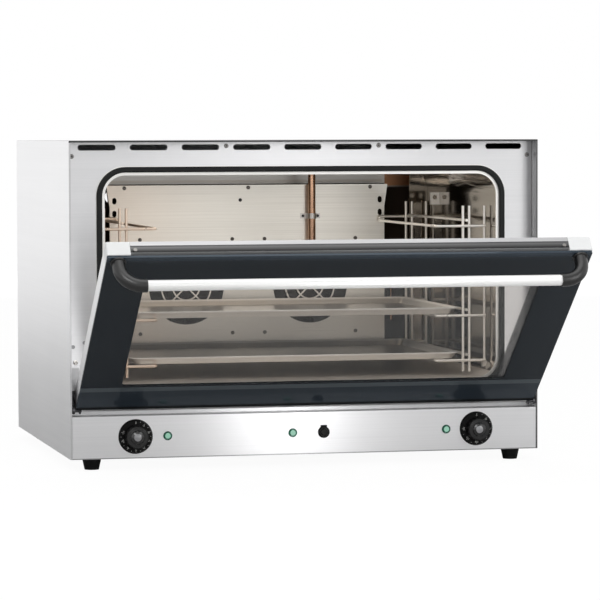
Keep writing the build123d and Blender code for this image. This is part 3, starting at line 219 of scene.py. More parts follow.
GRAIN_WAVES = 900.0
GRAIN_ALONG = 3.0
GRAIN_GLOSS = 0.10
GRAIN_RELIEF = 0.12
GRAIN_TURN = 0.25
BAND_WAVES = 60.0
BAND_ALONG = 1.5
BAND_TONE = 0.35
CLOUD_WAVES = 4.0
CLOUD_TONE = 0.5
CLOUD_GLOSS = 0.06
TONE_LOW = 0.1
TONE_HIGH = 0.9
HEAT_WAVES = 9.0
MOTTLE_SHARE = 0.6
MOTTLE_GLOSS = 0.14
BROADER = 8.0
PLASTIC_WAVES = 2500.0
PLASTIC_RELIEF = 0.12
PLASTIC_CLOUD_WAVES = 30.0
PLASTIC_CLOUD_GLOSS = 0.10
PLASTIC_GRAIN_GLOSS = 0.08
POLISH_ROUGH = 0.22
RING_WAVES = 700.0
RING_TONE = 0.15
RING_GLOSS = 0.08
RING_DEEP = 0.3 * MM
LENS_ROUGH = 0.18
LENS_COAT = 0.6
FIBRE_WAVES = 400.0
FIBRE_GLOSS = 0.08
FIBRE_RELIEF = 0.7
FIBRE_DEEP = 2.0 * MM
WOOL_ROUGH = 0.9
FINE_DEEP = 0.2 * MM

# Glass and the print on it

GLASS_WAVES = 12.0
SHINE_AHEAD = 0.04
SHINE_POWER = 5.0
MIRROR_TONE = (0.9, 0.93, 0.95)
MIRROR_ROUGH = 0.02
PRINT_CLOUD = 1.3
PRINT_ROUGH = 0.03
PRINT_GLOSS = 0.02
PRINT_MIRROR_TINT = (0.80, 0.92, 1.0)
# Painted reflections on the print: a paler head, and a paler band with a brighter step above the
# foot
HEAD_REFLECTION_TONE = (0.030, 0.042, 0.058)
BAND_REFLECTION_SHARE = 0.9
BAND_REFLECTION_TONE = (0.031, 0.040, 0.051)
STEP_REFLECTION_SHARE = 0.8
STEP_REFLECTION_TONE = (0.085, 0.10, 0.11)
# The print's matt foot and the inner pane's grey print
PRINT_FOOT_SHARE = 0.85
PRINT_FOOT_TONES = ((0.012, 0.013, 0.014), (0.018, 0.018, 0.019))
INNER_PRINT_SHARE = 0.6
INNER_PRINT_TONES = ((0.10, 0.105, 0.11), (0.14, 0.145, 0.15))
INNER_PRINT_ROUGH = 0.12
INNER_PRINT_GLOSS = 0.05

# The dials

SKIRT_PLANE = 18.0 * MM
DIAL_TEXT = 4.2 * MM
DIAL_RING = 23.2 * MM
TICK_RING = 26.0 * MM
TICKS_EACH = 2
TICK_LONG = 1.5 * MM
TICK_WIDE = 0.7 * MM
PAINT_THICK = 0.12 * MM
PAINT_SUNK = 0.01 * MM

# Small parts: places across and up, how far out their faces stand, turned profiles of (radius,
# height) in millimetres, the painted shade of recesses as dark bars of (length, width, thickness),
# and their turns in degrees

SCREW_PLACES = ((-0.1364, 0.5573), (0.1364, 0.5573), (-0.4074, 0.540), (0.4074, 0.540))
RIVET_PLACES = ((-0.407, 0.212), (-0.387, 0.219), (0.407, 0.212), (0.387, 0.219))
HINGE_SCREW_PLACES = ((-0.403, 0.185), (0.403, 0.185))
HOLE_SHADE_PLACES = ((-0.0155, 0.4535),)
SCREW_FACE = 1.78 * MM
CLIP_SCREW_IN = 5.0 * MM
CLIP_FACE_IN = 3.2 * MM
BACK_SCREW_IN = 9.0 * MM
MOTOR_SCREW_X = 58.0 * MM
MOTOR_SCREW_Z = 68.0 * MM
HINGE_SCREW_FACE = 1.5 * MM
BACK_SCREW_FACE = 1.95 * MM
HOLE_SHADE_PROFILE = ((3.4, -0.1), (3.4, 0.2), (2.8, 0.4), (0.6, 0.45))
CLIP_SCREW_PROFILE = ((2.7, -0.05), (2.7, 0.2), (2.2, 0.5), (0.8, 0.6))
RIVET_PROFILE = ((3.4, -0.1), (3.4, 0.25), (2.8, 0.4), (2.2, 0.32), (0.6, 0.2))
BACK_SCREW_PROFILE = ((3.6, -0.1), (3.6, 0.9), (3.1, 1.5), (2.0, 1.9), (0.7, 2.0))
HINGE_SCREW_PROFILE = ((4.2, -0.1), (4.2, 0.8), (3.6, 1.2), (2.4, 1.5), (0.8, 1.6))
FRONT_RECESS = (4.4 * MM, 1.0 * MM, 0.06 * MM)
FRONT_SCREW_TURN = 20
HINGE_SCREW_SLOT = (5.6 * MM, 1.0 * MM, 0.2 * MM)
HINGE_SCREW_TURN = 35
BACK_RECESS = (4.0 * MM, 0.9 * MM, 0.1 * MM)
BACK_SCREW_TURN = 25
SMOOTH_TO = math.radians(35)

# The camera, as solved from the photograph, the room by direction, and the floor

CAMERA_PLACE = Vector((-1.243, -5.559, 0.576))
CAMERA_YAW = math.radians(12.81)
CAMERA_DOWN = math.radians(2.96)
CAMERA_ROLL = math.radians(-0.17)
SENSOR = 36.0
FOCAL_PIXELS = 3194.0
FRAME_PIXELS = 600.0
FAR_CLIP = 50.0
ROOM_FRONT = (-0.9, 0.2)
ROOM_RIGHT = (0.21, 0.32)
ROOM_FRONT_DIM = 0.17
ROOM_RIGHT_DIM = 0.38
ROOM_SOFT_DIM = 0.45
FLOOR_REACH = 8.0
FLOOR_NEAR = 0.9
FLOOR_FAR = 7.0
FLOOR_WAVES = 2.0
FLOOR_TONES = ((0.52, 0.52, 0.52), (0.56, 0.56, 0.56))
FLOOR_WHITE = 0.88
FLOOR_LIFT = 0.08


class Shade:
    """A shader socket in Python arithmetic: each operator adds one Math node."""

    def __init__(self, nodes, socket):
        self.nodes = nodes
        self.socket = socket

    def __add__(self, other):
        return self.nodes.math("ADD", self, other)

    def __sub__(self, other):
        return self.nodes.math("SUBTRACT", self, other)

    def __mul__(self, other):
        return self.nodes.math("MULTIPLY", self, other)

    def __pow__(self, other):
        return self.nodes.math("POWER", self, other)

    def __radd__(self, other):
        return self.nodes.math("ADD", other, self)

    def __rsub__(self, other):
        return self.nodes.math("SUBTRACT", other, self)

    def __rmul__(self, other):
        return self.nodes.math("MULTIPLY", other, self)

    def size(self):
        """This value without its sign."""
        return self.nodes.math("ABSOLUTE", self)

    def above(self, level):
        """1 where this value is over the level, else 0."""
        return self.nodes.math("GREATER_THAN", self, level)

    def within(self, low, high, edge):
        """1 between two levels, with soft edges."""
        return self.ramp(low - edge, low + edge) * self.ramp(high - edge, high + edge, 1.0, 0.0)

    def sway(self, reach):
        """This noise, centred on zero and scaled to a reach."""
        return (self - 0.5) * reach

    def ramp(self, low, high, start=0.0, end=1.0):
        """Goes smoothly from start to end while this value goes from low to high."""
        limits = {"From Min": low, "From Max": high, "To Min": start, "To Max": end}
        settings = {"interpolation_type": "SMOOTHSTEP"}
        return self.nodes.add("ShaderNodeMapRange", settings, {"Value": self, **limits})


class Nodes:
    """The nodes of one material, or of the world."""

    def __init__(self, tree):
        self.tree = tree
        tree.nodes.clear()

    def node(self, kind, settings, sockets):
        """A node of one kind: its settings come first, then its sockets' values or links."""
        node = self.tree.nodes.new(kind)
        for name, value in settings.items():
            setattr(node, name, value)
        for name, value in sockets.items():
            self.feed(node.inputs[name], value)
        return node

    def add(self, kind, settings, sockets, result=0):
        """One output of a new node."""
        return Shade(self, self.node(kind, settings, sockets).outputs[result])

    def feed(self, socket, value):
        """Links a shade to a socket, or sets the socket's own value."""
        if isinstance(value, Shade):
            self.tree.links.new(value.socket, socket)
        elif socket.type == "RGBA":
            socket.default_value = (*value, 1.0)
        else:
            socket.default_value = value

    def math(self, operation, first, second=0.0):
        """One Math node."""
        return self.add("ShaderNodeMath", {"operation": operation}, {0: first, 1: second})

    def least(self, first, second):
        """The smaller of two values."""
        return self.math("MINIMUM", first, second)

    def most(self, first, second):
        """The larger of two values."""
        return self.math("MAXIMUM", first, second)

    def reach(self, across, along):
        """Length of a line that goes so far across and along."""
        return self.math("SQRT", across * across + along * along)

    def mix(self, factor, first, second):
        """One colour where the factor is 0 and the other where it is 1."""
        sockets = {0: factor, 6: first, 7: second}
        return self.add("ShaderNodeMix", {"data_type": "RGBA"}, sockets, 2)

    def layer(self, share, first, second):
        """One shader where the share is 0 and the other where it is 1."""
        return self.add("ShaderNodeMixShader", {}, {0: share, 1: first, 2: second})

    def vector(self, x, y, z):
        """A vector from its three parts."""
        return self.add("ShaderNodeCombineXYZ", {}, {0: x, 1: y, 2: z})

    def parts(self, vector):
        """The three parts of a vector."""
        split = self.node("ShaderNodeSeparateXYZ", {}, {0: vector})
        return [Shade(self, part) for part in split.outputs]

    def noise(self, place, scale, detail=2.0):
        """Soft noise at a number of waves to the metre."""
        sockets = {"Vector": place, "Scale": scale, "Detail": detail}
        return self.add("ShaderNodeTexNoise", {}, sockets)

    def matt(self, colour):
        """A matt shader."""
        return self.add("ShaderNodeBsdfDiffuse", {}, {"Color": colour})


class Finish(Nodes):
    """One material, with places in metres in the frame."""

    def __init__(self, name):
        self.material = bpy.data.materials.new(name)
        self.material.use_nodes = True
        super().__init__(self.material.node_tree)
        self.place = self.add("ShaderNodeTexCoord", {}, {}, "Object")
        self.x, self.y, self.z = self.parts(self.place)

    def principled(self, sockets):
        """A Principled shader."""
        return self.add("ShaderNodeBsdfPrincipled", {}, sockets)

    def bump(self, height, strength, reach):
        """A normal from a height, with its reach in metres."""
        sockets = {"Height": height, "Strength": strength, "Distance": reach}
        return self.add("ShaderNodeBump", {}, sockets)

    def facing(self, axis):
        """How squarely the surface faces along X, Y or Z of its own object, from 0 to 1."""
        normal = self.add("ShaderNodeTexCoord", {}, {}, "Normal")
        return self.parts(normal)[axis].size()

    def painted_shade(self, colour, share, deep=DEEP_SHADE_TONE):
        """The colour, with painted shade of a dark tone over a share of it."""
        return self.mix(share, colour, deep)

    def done(self, shade):
        """The material, with this shader as its surface."""
        self.node("ShaderNodeOutputMaterial", {}, {0: shade})
        return self.material


# Where on the oven a point of a surface is

def door_height(f):
    """Height up the door from its lower edge, along the door as it stands open."""
    return (f.y - HINGE.y) * DOOR_UP.y + (f.z - HINGE.z) * DOOR_UP.z - HINGE_BELOW


def door_depth(f):
    """Depth into the door from its outer face, through the door as it stands open."""
    return (f.y - HINGE.y) * DOOR_BACK.y + (f.z - HINGE.z) * DOOR_BACK.z + HINGE_BEHIND


def window_mask(f):
    """1 inside the outer glass's clear window, which has rounded corners."""
    across = f.most(f.x.size() - (WINDOW_HALF - WINDOW_CORNER), 0.0)
    centre = (WINDOW_FOOT + WINDOW_HEAD) / 2
    straight = (WINDOW_HEAD - WINDOW_FOOT) / 2 - WINDOW_CORNER
    along = f.most((door_height(f) - centre).size() - straight, 0.0)
    return 1 - f.reach(across, along).above(WINDOW_CORNER)


def dial_radius(f):
    """Distance from the axis of the nearer knob."""
    left, right = (f.reach(f.x - axis.x, f.z - axis.z) for axis in DIAL_AXES)
    return f.least(left, right)


def behind_baffle(f, end=1.0):
    """0 in front of the baffle and end behind it."""
    return f.y.ramp(BAFFLE_FACE + BEHIND_NEAR, BAFFLE_FACE + BEHIND_FAR, 0.0, end)


def copper_patch(f):
    """1 on the brown patch of the rear wall, right of the baffle."""
    right = f.x.ramp(PATCH_LEFT - PATCH_SIDE_BLUR, PATCH_LEFT + PATCH_SIDE_BLUR)
    return right * f.z.within(BAFFLE_TOP + PATCH_FOOT, BAFFLE_TOP + PATCH_HEAD, PATCH_BLUR)


def liner_ground(f):
    """1 on the cavity's floor."""
    foot = f.z.ramp(LINER_FLOOR + FLOOR_LEVEL, LINER_FLOOR + 2 * FLOOR_LEVEL, 1.0, 0.0)
    return f.facing(2).above(LEVEL) * foot


def liner_lip(f):
    """1 on the turned lip round the cavity's mouth."""
    return f.y.ramp(PANEL_FACE + LIP_DEEP, PANEL_FACE + 1.5 * LIP_DEEP, 1.0, 0.0)


def tray_rim(f):
    """1 on the rolled rims of the two trays."""
    return f.most(*(f.z.within(top - RIM_DEEP, top + RIM_DEEP, RIM_BLUR) for top in TRAY_TOPS))


# Tints: each takes a finish's own colour and gives the colour with its marks

def case_shade(f, colour):
    """Painted shade on the casing: dark lines along its folded front edges and where its side walls
    meet the panel, darker walls in front of the panel, a darker top and a near black inside.
    """
    fold = f.y.ramp(CASE_FRONT + HEM_FACE, CASE_FRONT + 2 * HEM_FACE, 1.0, 0.0)
    fold = fold * f.facing(1).above(UPRIGHT)
    roof = f.z.ramp(CASE_HIGH.z - FOLD_DEEP - HEM_FACE, CASE_HIGH.z - FOLD_DEEP)
    sides = HEM_LEFT_SHARE + f.x.above(0.0) * HEM_RIGHT_MORE
    colour = f.painted_shade(colour, fold * f.most(roof * HEM_ROOF_SHARE, sides))
    inside = f.x.size().ramp(CASE_HIGH.x - 2 * WALL_SKIN, CASE_HIGH.x - WALL_SKIN, 1.0, 0.0)
    ahead = f.y.ramp(PANEL_FACE, PANEL_FACE + HEM_FACE, 1.0, 0.0)
    inner = inside * f.facing(0).above(UPRIGHT) * ahead
    colour = f.painted_shade(colour, inner * WALL_SHADE_SHARE, WALL_SHADE_TONE)
    colour = f.painted_shade(colour, f.facing(2).above(LEVEL) * ROOF_SHADE_SHARE, ROOF_SHADE_TONE)
    seam = f.y.ramp(PANEL_FACE - SEAM, PANEL_FACE - SEAM / 2)
    colour = f.painted_shade(colour, inner * seam)
    under = f.z.ramp(CASE_HIGH.z - 2 * WALL_SKIN, CASE_HIGH.z - WALL_SKIN, 1.0, 0.0)
    within = inside * under * f.y.ramp(PANEL_FACE, PANEL_FACE + HEM_FACE)
    return f.painted_shade(colour, within * INSIDE_SHADE_SHARE, INSIDE_SHADE_TONE)


def control_shade(f, colour):
    """Painted shade on the control panel's ledge, which keeps it grey, and a painted shade line
    along its lower edge.
    """
    ledge = f.facing(2).ramp(*LEDGE_TURN)
    foot = f.z.ramp(CONTROL_FOOT + EDGE_LINE, CONTROL_FOOT + 1.4 * EDGE_LINE, 1.0, 0.0)
    share = f.most(ledge * LEDGE_SHARE, foot * CONTROL_FOOT_SHARE)
    return f.painted_shade(colour, share, CONTROL_SHADE_TONE)


def panel_shade(f, colour):
    """The front panel's lower corners, with painted shade where the hinges pass through it: near
    black over the slots and lighter above them.
    """
    side = f.x.size().ramp(HINGE_ZONE - HINGE_SLOT_BLUR, HINGE_ZONE)
    slot = f.z.within(HINGE_SLOT_FOOT, HINGE_SLOT_HEAD, HINGE_SLOT_BLUR) * side
    plate = f.z.within(HINGE_SLOT_HEAD, HINGE_PLATE_HEAD, HINGE_PLATE_BLUR) * side
    return f.painted_shade(colour, f.most(slot * HINGE_SLOT_SHARE, plate * HINGE_PLATE_SHARE))


def heat_tint(f, colour):
    """Pale steel above the baffle, with a browned line and one brown patch."""
    steel = f.mix(f.noise(f.place, HEAT_WAVES), *HEATED_TONES)
    line = f.z.within(BAFFLE_TOP + HEAT_LINE_FOOT, BAFFLE_TOP + HEAT_LINE_HEAD, HEAT_LINE_BLUR)
    line = line * f.x.within(HEAT_LINE_LEFT, HEAT_LINE_RIGHT, HEAT_LINE_END_BLUR)
    steel = f.mix(line * HEAT_LINE_SHARE, steel, HEAT_LINE_TONE)
    steel = f.mix(copper_patch(f), steel, PATCH_TONE)
    return f.mix(behind_baffle(f), colour, steel)


def liner_tint(f, colour):
    """Heat tints, with a paler floor and a painted highlight on the turned lip."""
    colour = f.mix(liner_ground(f), colour, GROUND_TONE)
    return f.mix(liner_lip(f), heat_tint(f, colour), LIP_HIGHLIGHT_TONE)


def baffle_tint(f, colour):
    """The baffle's sheet, warmer towards its left, with painted shade over its left and middle that
    fades out towards its right.
    """
    warm = f.x.ramp(WARM_START, WARM_END, 1.0, 0.0) * WARM_SHARE
    shade = f.x.ramp(SHADE_START, SHADE_END, SHADE_SHARE, 0.0)
    return f.mix(warm, f.painted_shade(colour, shade, SHADE_TONE), WARM_TONE)


def rack_reflection(f, colour):
    """Painted warm reflection on the wires in the left of the cavity."""
    return f.mix((1 - f.x.above(0.0)) * WARM_REFLECTION_SHARE, colour, WARM_REFLECTION_TONE)


def tray_highlight(f, colour):
    """Painted highlight along the rolled rims."""
    return f.mix(tray_rim(f), colour, RIM_HIGHLIGHT_TONE)


def rail_shade(f, colour):
    """Painted shade on the step of the door's top rail, darkest towards the outer glass."""
    depth = door_depth(f)
    share = depth.ramp(RAIL_DARK, RAIL_PALE, RAIL_DARK_SHARE, RAIL_PALE_SHARE)
    step = share * door_height(f).above(RAIL_STEP)
    return f.painted_shade(colour, step * depth.ramp(RAIL_PALE - RAIL_BLUR, RAIL_PALE, 1.0, 0.0))


def cap_tint(f, colour):
    """Grey crown inside a black rim, the same on both knobs."""
    rim = dial_radius(f).ramp(CAP_CROWN - CAP_BLUR, CAP_CROWN + CAP_BLUR)
    return f.mix(rim, colour, CAP_RIM_TONE)


# Shares, place by place: how rough, how metallic and how polished a finish is, and where a matt
# dark coat lies, which is soot on the exhaust pipe and painted shade behind the baffle

def roof_dull(f):
    """More roughness on the casing's top."""
    return f.facing(2).above(LEVEL) * ROOF_DULL


def liner_dull(f):
    """More roughness on the floor, the lip and the rear wall."""
    front = f.most(liner_ground(f) * GROUND_DULL, liner_lip(f) * LIP_DULL)
    return f.most(front, behind_baffle(f, REAR_DULL))


def liner_bare(f):
    """The cavity's floor is less metallic than its walls."""
    return 1 - liner_ground(f) * GROUND_SATIN


def tray_bare(f):
    """The trays' rims are satin."""
    return 1 - tray_rim(f) * RIM_SATIN


def rail_bare(f):
    """The rail's front lip is satin, so that it shows pale behind the outer glass."""
    lip = door_depth(f).ramp(RAIL_LIP, RAIL_LIP + SHARP_BLUR, 1.0, 0.0)
    return 1 - lip * (1 - door_height(f).above(RAIL_STEP))


def liner_behind_shade(f):
    """1 on the cavity's walls behind the baffle, where a matt dark coat paints the shade there, but
    not above it.
    """
    above = f.z.ramp(BAFFLE_TOP + SOOT_HEAD / 2, BAFFLE_TOP + 1.5 * SOOT_HEAD)
    return behind_baffle(f) * (1 - f.most(above, copper_patch(f)))


def pipe_soot(f):
    """1 on the exhaust pipe inside the oven."""
    mouth = BACK_FACE - EXHAUST_MOUTH
    return f.y.ramp(mouth - EXHAUST_BLUR, mouth + EXHAUST_BLUR, 1.0, 0.0)


def grip_face(f):
    """1 on the polished face of a knob's grip."""
    grip = dial_radius(f).ramp(GRIP_FACE - GRIP_BLUR, GRIP_FACE, 1.0, 0.0)
    return grip * f.facing(1).above(FLAT)


# Forms: normals that round a flat face

def domed(f, out, ball):
    """A normal that rounds a flat face as a ball of one radius would, by the distance out on it."""
    return f.bump(out ** 2.0 * (-0.5 / ball), strength=1.0, reach=1.0)


def cap_dome(f):
    """Rounds a knob's flat cap like a dome."""
    return domed(f, dial_radius(f), DOME_R)


def grip_dome(f):
    """Rounds the face of a knob's grip, and leaves its skirt flat."""
    return domed(f, f.least(dial_radius(f), GRIP_FACE), GRIP_DOME_R)


# Finishes

def brushed(name, pale, dark, rough, grain=0.5, tint=None, spread=0.75, dull=None, soot_and_shade=None,
            bare=None):
    """Brushed sheet: fine level grain that draws its highlights out across it, and faint clouds.

    tint changes the colour, dull adds roughness, bare says how metallic the skin is, and the
    soot-and-shade mask how much of it lies under a matt dark coat, each at its own places: soot on
    the exhaust pipe and painted shade on the cavity's walls behind the baffle."""
    f = Finish(name)
    level = f.facing(2)
    lines = f.noise(f.vector(f.x * GRAIN_ALONG, f.y * GRAIN_ALONG, f.z * GRAIN_WAVES), 1.0, 3.0)
    across = f.noise(f.vector(f.x * GRAIN_ALONG, f.y * GRAIN_WAVES, f.z * GRAIN_ALONG), 1.0, 3.0)
    bands = f.noise(f.vector(f.x * BAND_ALONG, f.y * BAND_ALONG, f.z * BAND_WAVES), 1.0)
    clouds = f.noise(f.place, CLOUD_WAVES, 3.0)
    streak = lines * (1 - level) + across * level
    tone = streak.sway(grain) + bands.sway(BAND_TONE) + clouds.sway(CLOUD_TONE) + 0.5
    colour = f.mix(tone.ramp(TONE_LOW, TONE_HIGH), dark, pale)
    gloss = rough + streak.sway(GRAIN_GLOSS) + clouds.sway(CLOUD_GLOSS)
    skin = {
        "Base Color": tint(f, colour) if tint else colour,
        "Metallic": bare(f) if bare else 1.0,
        "Roughness": gloss + dull(f) if dull else gloss,
        "Normal": f.bump(streak, GRAIN_RELIEF, FINE_DEEP),
    }
    drawn = f.principled({**skin, "Anisotropic": spread, "Anisotropic Rotation": GRAIN_TURN})
    sheet = f.layer(level.above(LEVEL), drawn, f.principled(skin))
    if soot_and_shade:
        sheet = f.layer(soot_and_shade(f), sheet, f.matt(f.mix(clouds, *SOOT_AND_SHADE_TONES)))
    return f.done(sheet)


def metal(name, pale, dark, rough, waves=60.0, dents=0.08, bare=1.0, tint=None):
    """Plain metal with a faint mottle in tone and gloss. bare under 1 gives it a satin skin."""
    f = Finish(name)
    mottle = f.noise(f.place, waves, 4.0)
    broad = f.noise(f.place, waves / BROADER)
    colour = f.mix(mottle * MOTTLE_SHARE + broad * (1 - MOTTLE_SHARE), dark, pale)
    return f.done(f.principled({
        "Base Color": tint(f, colour) if tint else colour,
        "Metallic": bare,
        "Roughness": rough + mottle.sway(MOTTLE_GLOSS),
        "Normal": f.bump(mottle, dents, FINE_DEEP),
    }))


def plastic(name, pale, dark, rough, shine=0.3, tint=None, form=None, coat=None):
    """Moulded plastic or rubber with a fine grain. coat says where it is polished."""
    f = Finish(name)
    fine = f.noise(f.place, PLASTIC_WAVES)
    broad = f.noise(f.place, PLASTIC_CLOUD_WAVES)
    colour = f.mix(broad, dark, pale)
    gloss = rough + broad.sway(PLASTIC_CLOUD_GLOSS) + fine.sway(PLASTIC_GRAIN_GLOSS)
    return f.done(f.principled({
        "Base Color": tint(f, colour) if tint else colour,
        "Specular IOR Level": shine,
        "Roughness": gloss,
        "Coat Weight": coat(f) if coat else 0.0,
        "Coat Roughness": POLISH_ROUGH,
        "Normal": form(f) if form else f.bump(fine, PLASTIC_RELIEF, FINE_DEEP),
    }))


def clear_pane(f, tint):
    """Thin clear glass: what is behind it, under a sharp reflection that grows at a slant."""
    slant = f.add("ShaderNodeLayerWeight", {}, {"Blend": 0.5}, "Facing")
    through = f.add("ShaderNodeBsdfTransparent", {}, {"Color": tint})
    sockets = {"Color": MIRROR_TONE, "Roughness": MIRROR_ROUGH}
    mirror = f.add("ShaderNodeBsdfGlossy", {}, sockets)
    return f.layer(SHINE_AHEAD + (1 - SHINE_AHEAD) * slant ** SHINE_POWER, through, mirror)


def printed_glass(name, ink, tint):
    """Pane with an opaque print round a clear window, matt along its foot, with painted reflections
    on the print: a paler band above the foot, a brighter step at its top, and a paler head.
    """
    f = Finish(name)
    up = door_height(f)
    cloud = f.noise(f.place, GLASS_WAVES)
    colour = f.mix(cloud, ink, tuple(PRINT_CLOUD * part for part in ink))
    colour = f.mix(up.ramp(REFLECTION_HEAD_START, REFLECTION_HEAD_START + REFLECTION_HEAD_FADE), colour, HEAD_REFLECTION_TONE)
    band = up.within(PRINT_EDGE, BAND_HEAD, PRINT_BLUR) * BAND_REFLECTION_SHARE
    colour = f.mix(band, colour, BAND_REFLECTION_TONE)
    step = up.within(BAND_STEP, BAND_HEAD, PRINT_BLUR) * STEP_REFLECTION_SHARE
    colour = f.mix(step, colour, STEP_REFLECTION_TONE)
    gloss = {"Roughness": PRINT_ROUGH + cloud * PRINT_GLOSS, "Specular Tint": PRINT_MIRROR_TINT}
    foot = up.ramp(PRINT_EDGE - PRINT_BLUR, PRINT_EDGE + PRINT_BLUR, PRINT_FOOT_SHARE, 0.0)
    matt = f.matt(f.mix(cloud, *PRINT_FOOT_TONES))
    border = f.layer(foot, f.principled({"Base Color": colour, **gloss}), matt)
    return f.done(f.layer(window_mask(f), border, clear_pane(f, tint)))


def inner_glass(name, tint):
    """Clear inner pane with a thin grey print along its sides."""
    f = Finish(name)
    cloud = f.noise(f.place, GLASS_WAVES)
    gloss = INNER_PRINT_ROUGH + cloud * INNER_PRINT_GLOSS
    ink = f.principled({"Base Color": f.mix(cloud, *INNER_PRINT_TONES), "Roughness": gloss})
    edge = (INNER_PRINT - SHARP_BLUR, INNER_PRINT + SHARP_BLUR)
    share = f.x.size().ramp(*edge, 0.0, INNER_PRINT_SHARE)
    return f.done(f.layer(share, clear_pane(f, tint), ink))


def lamp_pane(name, tint):
    """Plain clear glass."""
    f = Finish(name)
    return f.done(clear_pane(f, tint))


def lens(name, pale, deep):
    """Coloured lamp lens, pale at its crown and deep green at its rim."""
    f = Finish(name)
    rings = f.noise(f.place, RING_WAVES)
    crown = f.facing(1).ramp(*CROWN_TURN)
    return f.done(f.principled({
        "Base Color": f.mix(crown * (1 - RING_TONE + rings * RING_TONE), deep, pale),
        "Roughness": LENS_ROUGH + rings * RING_GLOSS,
        "Coat Weight": LENS_COAT,
        "Normal": f.bump(rings, RING_TONE, RING_DEEP),
    }))


def wool(name, pale, dark):
    """Pressed mineral wool."""
    f = Finish(name)
    fibre = f.noise(f.place, FIBRE_WAVES, 6.0)
    return f.done(f.principled({
        "Base Color": f.mix(fibre, dark, pale),
        "Roughness": WOOL_ROUGH + fibre * FIBRE_GLOSS,
        "Normal": f.bump(fibre, FIBRE_RELIEF, FIBRE_DEEP),
    }))


# The finishes of this oven: pale and dark tone, then roughness

STEEL = ((0.88, 0.88, 0.89), (0.79, 0.79, 0.80), 0.32)
BRIGHT_WIRE = ((1.0, 0.97, 0.92), (0.94, 0.90, 0.85), 0.30)

CASE = brushed("case_steel_brushed", *STEEL)
WRAP = brushed("casing_wrap_brushed", *STEEL, tint=case_shade, dull=roof_dull)
CONTROL = brushed("control_panel_brushed", *STEEL, tint=control_shade)
PANEL = brushed("front_panel_brushed", *STEEL, tint=panel_shade)
LINER = brushed(
    "cavity_steel_polished", (0.32, 0.285, 0.24), (0.24, 0.21, 0.175), 0.10, grain=0.2,
    tint=liner_tint, spread=0.3, dull=liner_dull, soot_and_shade=liner_behind_shade, bare=liner_bare)
BAFFLE = brushed(
    "baffle_steel", (0.94, 0.92, 0.87), (0.76, 0.74, 0.69), 0.36, grain=1.1,
    tint=baffle_tint, spread=0.5)
PIPE = brushed(
    "exhaust_steel", (0.60, 0.58, 0.56), (0.44, 0.42, 0.40), 0.36, soot_and_shade=pipe_soot)
TRAY = brushed(
    "tray_sheet", (0.86, 0.84, 0.81), (0.74, 0.72, 0.69), 0.30, grain=0.4,
    tint=tray_highlight, bare=tray_bare)
PROFILE = brushed(
    "door_aluminium", (0.84, 0.84, 0.84), (0.74, 0.74, 0.75), 0.34, grain=0.3)
RAIL = brushed(
    "door_rail", (0.52, 0.52, 0.52), (0.44, 0.44, 0.45), 0.34, grain=0.3,
    tint=rail_shade, bare=rail_bare)

WIRE = metal("wire_bright", *BRIGHT_WIRE, bare=0.7)
RACK_WIRE = metal("rack_wire", *BRIGHT_WIRE, bare=0.7, tint=rack_reflection)
SCREW = metal("screw_steel", (0.34, 0.33, 0.32), (0.20, 0.19, 0.18), 0.30)
CAVITY_SCREW = metal("cavity_screw", (0.16, 0.15, 0.14), (0.06, 0.05, 0.045), 0.28)
CLIP = metal("clip_steel", (0.66, 0.64, 0.62), (0.52, 0.50, 0.48), 0.30)
HANDLE = metal(
    "handle_aluminium", (1.0, 1.0, 0.99), (0.97, 0.97, 0.96), 0.34, waves=200.0, dents=0.03,
    bare=0.35)
RIM = metal("lens_rim", (0.05, 0.22, 0.15), (0.02, 0.10, 0.07), 0.26)
COPPER = metal("heated_copper", (0.82, 0.54, 0.38), (0.44, 0.24, 0.15), 0.20, waves=40.0)
BRASS = metal("brass", (0.80, 0.62, 0.32), (0.62, 0.46, 0.22), 0.28)
ZINC = metal("zinc_steel", (0.46, 0.46, 0.47), (0.32, 0.32, 0.33), 0.36, waves=120.0)
HINGE_STEEL = metal("hinge_steel", (0.16, 0.16, 0.17), (0.08, 0.08, 0.085), 0.30, waves=120.0)
DARK = metal("dark_metal", (0.06, 0.06, 0.065), (0.03, 0.03, 0.033), 0.5)
SHEATH = metal("heater_sheath", (0.20, 0.16, 0.13), (0.10, 0.08, 0.07), 0.55)

RUBBER = plastic("black_rubber", (0.010, 0.010, 0.010), (0.005, 0.005, 0.005), 0.50, shine=0.15)
GASKET = plastic("gasket_rubber", (0.016, 0.017, 0.017), (0.010, 0.011, 0.011), 0.50, shine=0.2)
PALE_BLOCK = plastic("pale_plastic", (0.88, 0.89, 0.89), (0.80, 0.81, 0.81), 0.42)
ELBOW = plastic("elbow_plastic", (0.006, 0.006, 0.006), (0.003, 0.003, 0.003), 0.30, shine=0.7)
BLACK = plastic("black_plastic", (0.008, 0.008, 0.008), (0.004, 0.004, 0.004), 0.30, shine=0.2)
KNOB = plastic(
    "knob_plastic", (0.006, 0.006, 0.006), (0.003, 0.003, 0.003), 0.34, shine=0.12,
    form=grip_dome, coat=grip_face)
CAP = plastic(
    "cap_grey", (0.32, 0.32, 0.33), (0.22, 0.22, 0.23), 0.20, shine=1.0, tint=cap_tint,
    form=cap_dome)
CERAMIC = plastic("white_ceramic", (0.86, 0.85, 0.81), (0.76, 0.74, 0.70), 0.5)
PAINT = plastic("dial_paint", (0.62, 0.62, 0.60), (0.54, 0.54, 0.52), 0.5)

OUTER_PANE = printed_glass("outer_pane", (0.0015, 0.0035, 0.0070), (0.96, 0.95, 0.94))
INNER_PANE = inner_glass("inner_pane", (0.97, 0.96, 0.95))
LAMP_GLASS = lamp_pane("lamp_glass", (0.97, 0.96, 0.92))
GREEN = lens("green_lens", (0.46, 0.88, 0.68), (0.01, 0.15, 0.07))
WOOL = wool("mineral_wool", (0.16, 0.14, 0.11), (0.05, 0.045, 0.035))

